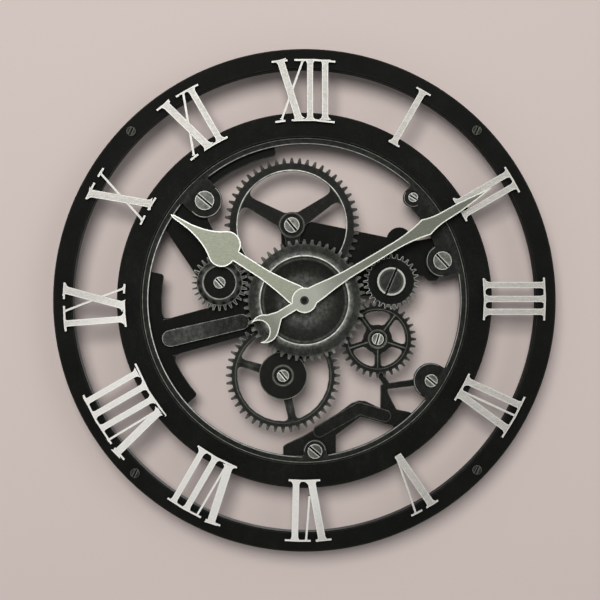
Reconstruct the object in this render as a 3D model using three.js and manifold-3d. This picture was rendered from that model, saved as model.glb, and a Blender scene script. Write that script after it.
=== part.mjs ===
// Openwork wall clock: an hour ring and a deep inner ring joined by twelve raised Roman numerals.
// A skeleton plate inside the inner ring carries six fixed ornamental gears, and the movement
// behind the middle gear turns the two hands.
// Everything is drawn facing the viewer: x to the right, y up, z out from the wall.
// The last group stands the clock up and puts the origin at the hanger, on the wall.

import * as THREE from 'three';
import { mergeVertices } from 'three/addons/utils/BufferGeometryUtils.js';
import Module from 'manifold-3d';

const wasm = await Module();
wasm.setup();

const degree = Math.PI / 180;

// Clearances
const fitGap = 0.3;
const levelGap = 0.5;
const flatTolerance = 0.01;

// Hour ring, the outer one
const hourRingRadius = 200;
const hourRingWidth = 15.6;
const hourRingThickness = 10;
const ringEdgeChamfer = 0.8;

// Inner ring: a hollow moulding with a ledge inside its front edge
const innerRingRadius = 149.2;
const innerRingWidth = 19;
const ringFaceHeight = 28;
const ringWall = 2.6;
const ledgeWidth = 5.7;
const ledgeDrop = 3;
const ledgeThickness = 4;
const ringSteps = 64;

// Numerals
const numeralLap = 6.9;
const numeralThickness = 3.5;
const thickStroke = 4.9;
const slantStroke = 5.9;
const thinStroke = 1.6;
const serifThickness = 1.5;
const serifBracket = 2.2;
const bracketWaist = 0.3;

// Each numeral with its top outwards: strokes as top, bottom and width, then head and foot serifs.
// A fourth figure ends a stroke above the foot, at that share of the height
const numerals = [
  { strokes: [[-1.2, -1.2, 5.2]], heads: [[-7.5, 5.5]], feet: [[-5.5, 4.3]] },
  { strokes: [[-6.3, -6.3, thickStroke], [4.5, 4.5, thickStroke]], heads: [[-12, 11]], feet: [[-11, 10]] },
  {
    strokes: [[-12.1, -12.1, thickStroke], [-1.1, -1.1, thickStroke], [9.1, 9.1, thickStroke]],
    heads: [[-18, 16]],
    feet: [[-17.5, 15.8]],
  },
  {
    strokes: [[-13.5, -9, 5.4], [-4.3, 0, thinStroke], [8, 2.8, slantStroke]],
    heads: [[-21, 15.7]],
    feet: [[-15, 9]],
  },
  { strokes: [[-6.4, -2.6, 6], [8, -1.4, thinStroke]], heads: [[-12.5, -1.5], [2.2, 12]], feet: [] },
  {
    strokes: [[-14.2, -5.5, 6], [-1.3, -4, thinStroke, 0.26], [7.7, 6.5, 5.2]],
    heads: [[-21.5, -9], [-5, 15.5]],
    feet: [[-12.5, 12.5]],
  },
  {
    strokes: [[-24, -13.8, 6.3], [-11.4, -11.8, thinStroke], [-1.5, -1.5, thickStroke], [10.2, 10.2, 4.7]],
    heads: [[-31.5, -19], [-15, 15.5]],
    feet: [[-20, 15.5]],
  },
  {
    strokes: [
      [-30.7, -18.5, slantStroke],
      [-18.2, -17.2, thinStroke],
      [-7.5, -7.5, thickStroke],
      [4.5, 4.5, thickStroke],
      [16.7, 16.7, 4.7],
    ],
    heads: [[-38, -26], [-22, 22.5]],
    feet: [[-24.5, 23.5]],
  },
  {
    strokes: [[-18.5, -14.8, thickStroke], [-8.8, 9.5, thinStroke], [8.5, -4.2, slantStroke]],
    heads: [[-24.5, -4.5], [1, 14]],
    feet: [[-21, 0], [5.5, 13]],
  },
  {
    strokes: [[-11.8, 5.5, slantStroke], [6.5, -9, thinStroke]],
    heads: [[-17, -2.5], [3, 11]],
    feet: [[-13, -5], [0, 11.5]],
  },
  {
    strokes: [[-18.2, -4.8, slantStroke], [-1, -18.5, thinStroke], [5.6, 5.6, thickStroke]],
    heads: [[-26, -13.5], [-7.5, 12.5]],
    feet: [[-22.5, -15], [-9, 12]],
  },
  {
    strokes: [[-19.2, -4.2, 5.6], [-1.1, -18, thinStroke], [4.5, 4.5, 4.7], [16.4, 16.4, thickStroke]],
    heads: [[-26, -13.5], [-8, 24.5]],
    feet: [[-23, -15], [-10, 24]],
  },
];

// Skeleton plate and lower bridge
const plateThickness = 4;
const flangeWidth = 15.5;
const upperFlangeWidth = 11.5;
const flangeCorner = 3;
const leftArmWidth = 29.5;
const leftArmLift = 1.2;
const armFillet = 6;
const diagonalArmWidth = 29;
const middleDiscRadius = 34;
const rightArmEndWidth = 25;
const leftFlangeStart = 169.5;
const leftFlangeEnd = 221.5;
const upperFlangeStart = 101;
const upperFlangeEnd = 152;
const diagonalArmAngle = 143;
const bumpOffset = { x: 7, y: 33.5 };
const bumpRadius = 10;
const thinArmWidth = 4.8;
const raisedArmWidth = 9.4;
const raisedArmHeight = 1.5;

// Gear levels and places, from the middle of the clock
const gearThickness = 3;
const middleGearThickness = 5;
const upperGearPlace = { x: -10, y: 60 };
const lowerGearPlace = { x: -17, y: -60 };
const spokedGearPlace = { x: 58.5, y: -31 };
const leftGearPlace = { x: -67.5, y: 14 };
const rightGearPlace = { x: 69, y: 15 };

// Gears: number of teeth, radius at the tips, and depth of a tooth
const middleGear = { teeth: 48, tip: 48.3, depth: 3.9 };
const upperGear = { teeth: 52, tip: 53.8, depth: 4.2 };
const lowerGear = { teeth: 44, tip: 45.8, depth: 4.6 };
const spokedGear = { teeth: 32, tip: 30.8, depth: 4 };
const leftGear = { teeth: 28, tip: 22.4, depth: 4.2 };
const rightGear = { teeth: 28, tip: 22.1, depth: 3.4 };
const toothRootShare = 0.3;
const toothTipShare = 0.12;

// Gear bodies
const dishRadius = 34.6;
const dishFloor = 1.5;
const dishFlat = 13;
const dishLip = 1.4;
const dishRings = 3;
const middleToothHeight = 3.4;
const spacerRadius = 6.4;
const upperGearRim = 6.2;
const upperGearArms = { angles: [34, 152, 273], hub: 10.5, hubWidth: 12, rimWidth: 8, fillet: 8, corner: 1.5 };
const upperHubWall = 1.6;
const lowerGearRim = 4.6;
const lowerGearArms = { angles: [42, 163, 282], hub: 9, hubWidth: 7.6, rimWidth: 6.4, fillet: 4, corner: 1 };
const lowerDiscRadius = 19.3;
const lowerCollarRadius = 8.6;
const collarWall = 1.4;
const spokedGearRim = 4.6;
const spokedGearArms = {
  angles: [54, 126, 198, 270, 342],
  hub: 11.6,
  hubWidth: 5,
  rimWidth: 4.6,
  fillet: 3.2,
  corner: 1.5,
};
const spokedCollarRadius = 7.7;
const leftGearRecess = 13;
const leftGearSlope = 4.6;
const recessDepth = 1.2;
const collarHeight = 1.2;
const gearBossRadius = 9;

// Lugs of the inner ring, each round a screw: place as an angle and a distance in from the ledge,
// then the radius of the lug, the radius of the screw head and the turn of its slot
const lugs = [
  { name: 'upper_left', angle: 135, inset: 12.1, radius: 14, head: 7.7, slot: -40 },
  { name: 'upper_right', angle: 43.4, inset: 5.2, radius: 8, head: 3.9, slot: -33 },
  { name: 'right', angle: 16, inset: 10.1, radius: 13, head: 7.4, slot: -47 },
  { name: 'lower_right', angle: -32.4, inset: 4.9, radius: 14.2, head: 5.2, slot: -40 },
  { name: 'lower', angle: -86, inset: 3.9, radius: 9.2, head: 5.9, slot: -40 },
];
const lugFlangeWidth = 11.5;

// Screws
const screwShank = 2;
const screwHeadHeight = 2;
const slotWidth = 1.8;
const slotDepth = 1.4;
const screwSides = 6;
const screwSidesPerRadius = 1.3;
const ringScrewRadius = 3.8;
const ringScrewAngles = [44.6, 135.7, 225.6, 315.5];
const bigScrewRadius = 11.3;
const bigScrewHeight = 3;
const bigScrewRim = 1.8;
const bigScrewDish = 0.6;

// Left bar
const barWidth = 13.2;
const barThickness = 3.5;
const barInset = 13.3;
const barStartAngle = 195.9;
const barClearance = 4.6;
const barEndAngle = 199;

// Movement
const caseSize = 56;
const caseThickness = 14.5;
const caseCorner = 4;
const bushRadius = 4;
const bushLength = 15.2;
const nutRadius = 6.4;
const nutThickness = 1.8;
const washerRadius = 7;
const washerThickness = 0.5;
const arborRadius = 1.5;
const hourTubeWall = 0.8;
const tubeDepth = 4;
const arborDepth = 8;
const batteryRadius = 7.1;
const batteryLength = 50;
const batteryOffset = 19;
const batteryNub = 1.6;
const batteryNubRadius = 2.8;
const contactThickness = 0.6;
const contactWidth = 9;
const caseWall = 1;
const knobRadius = 5.5;
const knobThickness = 1.4;
const knobPlace = { x: -12, y: 9 };
const knobStem = 5;

// Hands
const handThickness = 1.2;
const handHub = 10;
const handRise = 1;
const handSpacing = 1.5;
const hourHandAngle = 147.3;
const hourHandLength = 125.5;
const minuteHandAngle = 31;
const minuteHandLength = 172;
const capRadius = 3.4;
const capThickness = 1.6;
const spade = { from: 75, lift: 4, radius: 10.7, end: 50 * degree };
const tailHead = { x: -38.5, y: -3, radius: 11.3 };
const tailMouth = { x: -43.5, y: -2.5, radius: 8.7 };
const tailTips = 47.8;
const tailNeck = 6.8;
const tailFlare = { start: 23, end: 31 };

// Wall hanger
const hangerPlateWidth = 40;
const hangerPlateThickness = 1.4;
const hangerInset = 1.5;
const hangerBlockWidth = 46;
const keyholeRadius = 3.8;
const keyholeSlot = 2;
const keyholeLength = 4.5;
const keyholePocket = 9;
const hangerScrewRadius = 2.3;
const hangerScrewShank = 1.1;
const hangerScrewHead = 1.2;
const hangerScrewLength = 7;
const hangerScrewSpacing = 26;

// Radii and heights that follow from the sizes above
const hourRingInner = hourRingRadius - hourRingWidth;
const innerRingInner = innerRingRadius - innerRingWidth;
const ledgeInner = innerRingInner - ledgeWidth;
const flangeOuter = innerRingInner - fitGap;
const ledgeFront = ringFaceHeight - ledgeDrop;
const ledgeBack = ledgeFront - ledgeThickness;
const plateFront = ledgeBack;
const plateBack = plateFront - plateThickness;
const lowFront = plateFront + gearThickness;
const midBack = lowFront + levelGap;
const midFront = midBack + gearThickness;
const topBack = midFront + levelGap;
const topFront = topBack + middleGearThickness;
const caseBack = plateBack - caseThickness;
const dishFront = topBack + dishFloor;
const hourHandBack = topFront + handRise;
const minuteHandBack = hourHandBack + handThickness + handSpacing;
const capBack = minuteHandBack + handThickness;
const hourTubeOuter = arborRadius + fitGap + hourTubeWall;
const batteryAxis = plateBack - caseWall - fitGap - batteryRadius;
const bayLength = batteryLength + (contactThickness + fitGap) * 2;
const numeralHead = hourRingInner + numeralLap;
const numeralFoot = innerRingRadius - numeralLap;
const ringMiddle = innerRingRadius - innerRingWidth / 2;
const barStart = polar(ledgeInner - barInset, barStartAngle);
const barEnd = polar(middleGear.tip + barClearance, barEndAngle);
for (const lug of lugs) {
  Object.assign(lug, polar(ledgeInner - lug.inset, lug.angle));
}
const hangerHeight = ringMiddle + (keyholeLength + keyholeRadius - keyholeSlot) / 2;

// Finishes: colour, roughness and metalness
const blackSatin = { color: 0x24251f, roughness: 0.55, metalness: 0.1 };
const gunmetal = { color: 0x45463f, roughness: 0.42, metalness: 0.7 };
const darkIron = { color: 0x2c2d28, roughness: 0.5, metalness: 0.5 };
const brushedSilver = { color: 0xc6c8c0, roughness: 0.34, metalness: 0.8 };
const handSilver = { color: 0xb4b6aa, roughness: 0.36, metalness: 0.75 };
const casePlastic = { color: 0x17181a, roughness: 0.6, metalness: 0 };
const brass = { color: 0xb08d45, roughness: 0.35, metalness: 0.9 };
const steel = { color: 0x9a9c9b, roughness: 0.35, metalness: 0.9 };
const cellJacket = { color: 0x6d7479, roughness: 0.45, metalness: 0.2 };

const clock = new THREE.Group();
const centre = { x: 0, y: 0 };

// Turns a closed geometry into a solid that can be joined and cut
function solidOf(geometry) {
  const bare = geometry.clone();
  bare.deleteAttribute('normal');
  bare.deleteAttribute('uv');
  const merged = mergeVertices(bare, 1e-4);
  const mesh = new wasm.Mesh({
    numProp: 3,
    vertProperties: new Float32Array(merged.attributes.position.array),
    triVerts: new Uint32Array(merged.index.array),
  });
  return new wasm.Manifold(mesh);
}

// Gives the surface of a solid back as a geometry
function geometryOf(solid) {
  const mesh = solid.asOriginal().simplify(flatTolerance).getMesh();
  const geometry = new THREE.BufferGeometry();
  geometry.setAttribute('position', new THREE.BufferAttribute(new Float32Array(mesh.vertProperties), 3));
  geometry.setIndex(new THREE.BufferAttribute(new Uint32Array(mesh.triVerts), 1));
  geometry.computeVertexNormals();
  return geometry;
}

// Adds a named piece to the clock, or to a group inside it
function addPiece(name, solid, finish, parent = clock) {
  const piece = new THREE.Mesh(geometryOf(solid), new THREE.MeshStandardMaterial(finish));
  piece.name = name;
  parent.add(piece);
  return piece;
}

// A flat plate with the given outline, between two heights
function plate(outline, back, front, curveSegments = 6, place = centre) {
  const options = { depth: front - back, bevelEnabled: false, curveSegments };
  const geometry = new THREE.ExtrudeGeometry(outline, options);
  geometry.translate(place.x, place.y, back);
  return solidOf(geometry);
}

// A body turned about z, from its profile of radius and height, going round anticlockwise
function turned(profile, steps, place = centre) {
  const points = profile.map(([radius, height]) => new THREE.Vector2(radius, height));
  const geometry = new THREE.LatheGeometry(points, steps);
  geometry.rotateX(Math.PI / 2);
  geometry.translate(place.x, place.y, 0);
  return solidOf(geometry);
}

function cylinder(place, radius, back, front, steps = 20) {
  return turned([[0, back], [radius, back], [radius, front], [0, front]], steps, place);
}

// A box round the given place, between two heights
function box(place, width, height, back, front) {
  const geometry = new THREE.BoxGeometry(width, height, front - back);
  geometry.translate(place.x, place.y, (back + front) / 2);
  return solidOf(geometry);
}

function joinAll(solids) {
  return solids.reduce((whole, solid) => whole.add(solid));
}

function polar(radius, angle) {
  return { x: radius * Math.cos(angle * degree), y: radius * Math.sin(angle * degree) };
}

function angleOf(place) {
  return Math.atan2(place.y, place.x) / degree;
}

function polygon(points) {
  return new THREE.Shape(points.map(([x, y]) => new THREE.Vector2(x, y)));
}

// A straight strip from one place to another, with its own width at each end
function strip(from, fromWidth, to, toWidth = fromWidth) {
  const length = Math.hypot(to.x - from.x, to.y - from.y);
  const across = { x: -(to.y - from.y) / length / 2, y: (to.x - from.x) / length / 2 };
  return polygon([
    [from.x + across.x * fromWidth, from.y + across.y * fromWidth],
    [from.x - across.x * fromWidth, from.y - across.y * fromWidth],
    [to.x - across.x * toWidth, to.y - across.y * toWidth],
    [to.x + across.x * toWidth, to.y + across.y * toWidth],
  ]);
}

// A stretch of a flat ring between two angles in degrees
function ringSector(inner, outer, startAngle, endAngle) {
  const shape = new THREE.Shape();
  shape.absarc(0, 0, outer, startAngle * degree, endAngle * degree, false);
  shape.absarc(0, 0, inner, endAngle * degree, startAngle * degree, true);
  shape.closePath();
  return shape;
}

// A stretch of a flat ring with its two inner corners rounded
function flangeSector(inner, outer, startAngle, endAngle) {
  const turn = flangeCorner / inner / degree;
  const endSide = polar(inner + flangeCorner, endAngle);
  const endCorner = polar(inner, endAngle);
  const endFoot = polar(inner, endAngle - turn);
  const startCorner = polar(inner, startAngle);
  const startSide = polar(inner + flangeCorner, startAngle);
  const shape = new THREE.Shape();
  shape.absarc(0, 0, outer, startAngle * degree, endAngle * degree, false);
  shape.lineTo(endSide.x, endSide.y);
  shape.quadraticCurveTo(endCorner.x, endCorner.y, endFoot.x, endFoot.y);
  shape.absarc(0, 0, inner, (endAngle - turn) * degree, (startAngle + turn) * degree, true);
  shape.quadraticCurveTo(startCorner.x, startCorner.y, startSide.x, startSide.y);
  shape.closePath();
  return shape;
}

// The outline of a gear, four points to a tooth
function toothedOutline({ teeth, tip, depth }) {
  const step = 360 / teeth;
  const corners = [[-toothRootShare, tip - depth], [-toothTipShare, tip], [toothTipShare, tip], [toothRootShare, tip - depth]];
  const points = [];
  for (let tooth = 0; tooth < teeth; tooth += 1) {
    for (const [share, radius] of corners) {
      const corner = polar(radius, (tooth + share) * step);
      points.push([corner.x, corner.y]);
    }
  }
  return polygon(points);
}

// The place that lies a distance from one place on the way to another
function towards(from, to, distance) {
  const length = Math.hypot(to.x - from.x, to.y - from.y);
  const share = distance / length;
  return { x: from.x + (to.x - from.x) * share, y: from.y + (to.y - from.y) * share };
}

// The window between two neighbouring arms, with fillets at the rim and cut corners at the hub
function armWindow(firstArm, nextArm, rim, { hub, hubWidth, rimWidth, fillet, corner }) {
  const hubTurn = Math.asin(hubWidth / 2 / hub) / degree;
  const rimTurn = Math.asin(rimWidth / 2 / rim) / degree;
  const filletTurn = fillet / rim / degree;
  const cornerTurn = corner / hub / degree;
  const rimFirst = polar(rim, firstArm + rimTurn);
  const rimNext = polar(rim, nextArm - rimTurn);
  const hubFirst = polar(hub, firstArm + hubTurn);
  const hubNext = polar(hub, nextArm - hubTurn);
  const nextSide = towards(rimNext, hubNext, fillet);
  const nextFoot = towards(hubNext, rimNext, corner);
  const firstFoot = towards(hubFirst, rimFirst, corner);
  const firstSide = towards(rimFirst, hubFirst, fillet);
  const start = polar(rim, firstArm + rimTurn + filletTurn);
  const hubStart = (nextArm - hubTurn - cornerTurn) * degree;
  const hubEnd = (firstArm + hubTurn + cornerTurn) * degree;
  const path = new THREE.Path();
  path.absarc(0, 0, rim, (firstArm + rimTurn + filletTurn) * degree, (nextArm - rimTurn - filletTurn) * degree, false);
  path.quadraticCurveTo(rimNext.x, rimNext.y, nextSide.x, nextSide.y);
  path.lineTo(nextFoot.x, nextFoot.y);
  path.absarc(0, 0, hub, hubStart, hubEnd, true);
  path.lineTo(firstFoot.x, firstFoot.y);
  path.lineTo(firstSide.x, firstSide.y);
  path.quadraticCurveTo(rimFirst.x, rimFirst.y, start.x, start.y);
  return path;
}

// A gear outline with windows between its arms
function armedOutline(gear, rim, arms) {
  const outline = toothedOutline(gear);
  arms.angles.forEach((arm, index) => {
    const next = index + 1 < arms.angles.length ? arms.angles[index + 1] : arms.angles[0] + 360;
    outline.holes.push(armWindow(arm, next, rim, arms));
  });
  return outline;
}

const screwBore = screwShank + fitGap;
const hangerScrewHole = hangerScrewShank + fitGap;

// Outer ring with its four blind screw holes
function addHourRing() {
  const back = ringFaceHeight - hourRingThickness;
  const ring = turned([
    [hourRingInner, back],
    [hourRingRadius, back],
    [hourRingRadius, ringFaceHeight - ringEdgeChamfer],
    [hourRingRadius - ringEdgeChamfer, ringFaceHeight],
    [hourRingInner + ringEdgeChamfer, ringFaceHeight],
    [hourRingInner, ringFaceHeight - ringEdgeChamfer],
    [hourRingInner, back],
  ], ringSteps);
  const middle = (hourRingInner + hourRingRadius) / 2;
  const depth = shankLength(ledgeThickness);
  const holes = ringScrewAngles.map((angle) => (
    cylinder(polar(middle, angle), screwBore, ringFaceHeight - depth - fitGap, ringFaceHeight + 1, 12)
  ));
  addPiece('hour_ring', ring.subtract(joinAll(holes)), blackSatin);
  ringScrewAngles.forEach((angle, index) => {
    addScrew(`ring_screw_${index + 1}`, polar(middle, angle), ringFaceHeight, ringScrewRadius, depth, 65, darkIron);
  });
}

function shankLength(grip) {
  return grip + plateThickness / 2;
}

// A slotted screw whose head stands on the given height; a tall head is dished inside its rim
function addScrew(name, place, seat, radius, shank, slotAngle, finish, height = screwHeadHeight) {
  const dished = height > screwHeadHeight;
  const face = dished
    ? [[radius - bigScrewRim, height], [radius - bigScrewRim - bigScrewDish, height - bigScrewDish], [0, height - bigScrewDish]]
    : [[0, height]];
  const body = turned([
    [0, -shank],
    [screwShank, -shank],
    [screwShank, 0],
    [radius, 0],
    [radius, height],
    ...face,
  ], screwSides + Math.round(radius * screwSidesPerRadius));
  const slot = box(centre, radius * 2 + 2, slotWidth, height - slotDepth, height + 1);
  const screw = addPiece(name, body.subtract(slot), finish);
  screw.position.set(place.x, place.y, seat);
  screw.rotation.z = slotAngle * degree;
}

// Lugs and flange that stand inwards from the ledge
function ledgeShapes() {
  const root = (ledgeInner + innerRingInner) / 2;
  const shapes = [];
  for (const lug of lugs) {
    shapes.push(cylinder(lug, lug.radius, ledgeBack, ledgeFront));
    const foot = polar(root, angleOf(lug));
    shapes.push(plate(strip(lug, lug.radius * 2, foot), ledgeBack, ledgeFront));
  }
  const flange = ringSector(ledgeInner - lugFlangeWidth, root, lugs[2].angle, lugs[1].angle);
  shapes.push(plate(flange, ledgeBack, ledgeFront));
  return joinAll(shapes);
}

// Inner ring: a channel open to the wall, with a solid block for the hanger
function addInnerRing() {
  const channelTop = ringFaceHeight - ringWall;
  const ring = turned([
    [innerRingInner, 0],
    [innerRingInner + ringWall, 0],
    [innerRingInner + ringWall, channelTop],
    [innerRingRadius - ringWall, channelTop],
    [innerRingRadius - ringWall, 0],
    [innerRingRadius, 0],
    [innerRingRadius, ringFaceHeight - ringEdgeChamfer],
    [innerRingRadius - ringEdgeChamfer, ringFaceHeight],
    [innerRingInner, ringFaceHeight],
    [innerRingInner, ledgeFront],
    [ledgeInner, ledgeFront],
    [ledgeInner, ledgeBack],
    [innerRingInner, ledgeBack],
    [innerRingInner, 0],
  ], ringSteps);
  const blockSeat = hangerInset + hangerPlateThickness;
  const blockTurn = Math.asin(hangerBlockWidth / 2 / hangerHeight) / degree;
  const inside = innerRingInner + ringWall / 2;
  const outside = innerRingRadius - ringWall / 2;
  const blockShape = ringSector(inside, outside, 90 - blockTurn, 90 + blockTurn);
  const block = plate(blockShape, blockSeat, channelTop + ringWall / 2);
  const mouthPocket = keyholeOutline(keyholeRadius + fitGap, keyholeRadius);
  const pocket = plate(mouthPocket, blockSeat - 1, blockSeat + keyholePocket, 6);
  const screwHoles = [-1, 1].map((side) => (
    cylinder(hangerScrewPlace(side), hangerScrewHole, blockSeat - 1, blockSeat + keyholePocket, 12)
  ));
  const bores = lugs.map((lug) => cylinder(lug, screwBore, ledgeBack - 1, ledgeFront + 1, 12));
  const whole = ring.add(block).add(ledgeShapes());
  addPiece('inner_ring', whole.subtract(joinAll([pocket, ...screwHoles, ...bores])), blackSatin);
}

// Keyhole: a round mouth below, a narrow slot above that hooks on the wall screw
function keyholeOutline(mouthRadius, slotRadius) {
  const turn = Math.asin(slotRadius / mouthRadius);
  const shape = new THREE.Shape();
  shape.absarc(0, hangerHeight, slotRadius, 0, Math.PI, false);
  shape.absarc(0, hangerHeight - keyholeLength, mouthRadius, Math.PI / 2 + turn, Math.PI * 2.5 - turn, false);
  shape.closePath();
  return shape;
}

function hangerScrewPlace(side) {
  return polar(ringMiddle, 90 + side * Math.asin(hangerScrewSpacing / 2 / ringMiddle) / degree);
}

// Steel keyhole plate and its two screws, let into the back of the inner ring
function addHanger() {
  const turn = Math.asin(hangerPlateWidth / 2 / ringMiddle) / degree;
  const inner = innerRingInner + ringWall + fitGap;
  const outer = innerRingRadius - ringWall - fitGap;
  const back = hangerInset;
  const front = hangerInset + hangerPlateThickness;
  const sheet = plate(ringSector(inner, outer, 90 - turn, 90 + turn), back, front);
  const keyhole = plate(keyholeOutline(keyholeRadius, keyholeSlot), back - 1, front + 1, 6);
  const holes = [-1, 1].map((side) => cylinder(hangerScrewPlace(side), hangerScrewHole, back - 1, front + 1, 12));
  addPiece('hanger_plate', sheet.subtract(joinAll([keyhole, ...holes])), steel);
  [-1, 1].forEach((side, index) => {
    const screw = turned([
      [0, 0],
      [hangerScrewShank, 0],
      [hangerScrewShank, hangerScrewLength],
      [hangerScrewRadius, hangerScrewLength],
      [hangerScrewRadius, hangerScrewLength + hangerScrewHead],
      [0, hangerScrewLength + hangerScrewHead],
    ], 12);
    const turnedRound = addPiece(`hanger_screw_${index + 1}`, screw, steel);
    const place = hangerScrewPlace(side);
    turnedRound.rotation.x = Math.PI;
    turnedRound.position.set(place.x, place.y, back + hangerScrewLength);
  });
}

// Skeleton plate: left and upper flanges along the ring, arms to the middle, right and lower gears
function skeletonShapes() {
  const leftArm = polar(flangeOuter - flangeWidth / 2, barStartAngle);
  const leftRoot = { x: leftArm.x, y: leftArm.y + leftArmLift };
  const diagonalRoot = polar(flangeOuter - fitGap, diagonalArmAngle);
  const rightRoot = polar(flangeOuter - 1, angleOf(lugs[2]) + 2);
  const bump = { x: rightGearPlace.x + bumpOffset.x, y: rightGearPlace.y + bumpOffset.y };
  const upperPad = { x: upperGearPlace.x, y: upperGearPlace.y };
  const flats = [
    flangeSector(flangeOuter - flangeWidth, flangeOuter, leftFlangeStart, leftFlangeEnd),
    flangeSector(flangeOuter - upperFlangeWidth, flangeOuter, upperFlangeStart, upperFlangeEnd),
    strip(leftRoot, leftArmWidth, centre),
    strip(diagonalRoot, diagonalArmWidth + 8, leftGearPlace, diagonalArmWidth - 4),
    strip(leftGearPlace, diagonalArmWidth - 4, centre),
    strip(upperPad, gearBossRadius * 2, centre, middleDiscRadius),
    strip(centre, middleDiscRadius, lowerGearPlace, gearBossRadius * 2),
  ];
  const rounds = [
    cylinder(centre, middleDiscRadius, plateBack, plateFront, 32),
    cylinder(upperPad, gearBossRadius, plateBack, plateFront),
    cylinder(lowerGearPlace, gearBossRadius, plateBack, plateFront),
    cylinder(leftGearPlace, diagonalArmWidth / 2 - 2, plateBack, plateFront),
    cylinder(rightGearPlace, gearBossRadius, plateBack, plateFront),
    cylinder(bump, bumpRadius, plateBack, plateFront),
  ];
  const lug = lugs[2];
  const rightArm = polygon([
    [0, middleDiscRadius],
    [0, 0],
    [rightGearPlace.x, rightGearPlace.y - 10],
    [lug.x - 22, lug.y - 11.5],
    [lug.x - 15, lug.y - 12.5],
    [lug.x - 10, lug.y - 16],
    [lug.x - 4, lug.y - 16],
    [lug.x - 2, lug.y - 13],
    [lug.x + 9, lug.y - 9],
    [rightRoot.x + 6, rightRoot.y - rightArmEndWidth / 2],
    [rightRoot.x - 4, rightRoot.y + rightArmEndWidth / 2],
  ]);
  const web = polygon([
    [upperPad.x - upperGearArms.hub / 2, upperPad.y - upperGearArms.hub],
    [upperPad.x + upperGearArms.hub, upperPad.y + 1],
    [upperPad.x + upperGearArms.hub * 1.5, upperPad.y + 3],
    [bump.x - bumpRadius, bump.y + 2],
    [bump.x, bump.y - bumpRadius],
    [0, 0],
    [upperPad.x - upperGearArms.hub / 2, 0],
  ]);
  const fillets = [-1, 1].map((side) => armCorner(leftRoot, side));
  return joinAll([...flats, rightArm, web, ...fillets].map((flat) => plate(flat, plateBack, plateFront)).concat(rounds));
}

// The hollow corner between the left arm and its flange, above or below the arm
function armCorner(root, side) {
  const armAngle = angleOf(root);
  const edge = polar(leftArmWidth / 2, armAngle - side * 90);
  const inner = flangeOuter - flangeWidth;
  const turn = Math.asin(leftArmWidth / 2 / inner) / degree;
  const corner = polar(inner, armAngle - side * turn);
  const along = towards(corner, edge, armFillet);
  const onFlange = polar(inner, armAngle - side * (turn + armFillet / inner / degree));
  const hollow = towards(corner, { x: (along.x + onFlange.x) / 2, y: (along.y + onFlange.y) / 2 }, armFillet / 3);
  const back = polar(flangeOuter - flangeWidth / 2, armAngle - side * turn);
  return polygon([[back.x, back.y], [along.x, along.y], [hollow.x, hollow.y], [onFlange.x, onFlange.y]]);
}

// Cuts a plate back to a running gap inside the inner ring
function insideRing(solid) {
  return solid.intersect(cylinder(centre, flangeOuter, plateBack - 1, plateFront + 1, ringSteps));
}

function addSkeletonPlate() {
  const screwPlaces = [upperGearPlace, lowerGearPlace, leftGearPlace, rightGearPlace, lugs[0], lugs[2]];
  const bores = screwPlaces.map((place) => cylinder(place, screwBore, plateBack - 1, plateFront + 1, 12));
  const bushBore = cylinder(centre, bushRadius + fitGap, plateBack - 1, plateFront + 1);
  addPiece('skeleton_plate', insideRing(skeletonShapes()).subtract(joinAll([bushBore, ...bores])), blackSatin);
}

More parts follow.
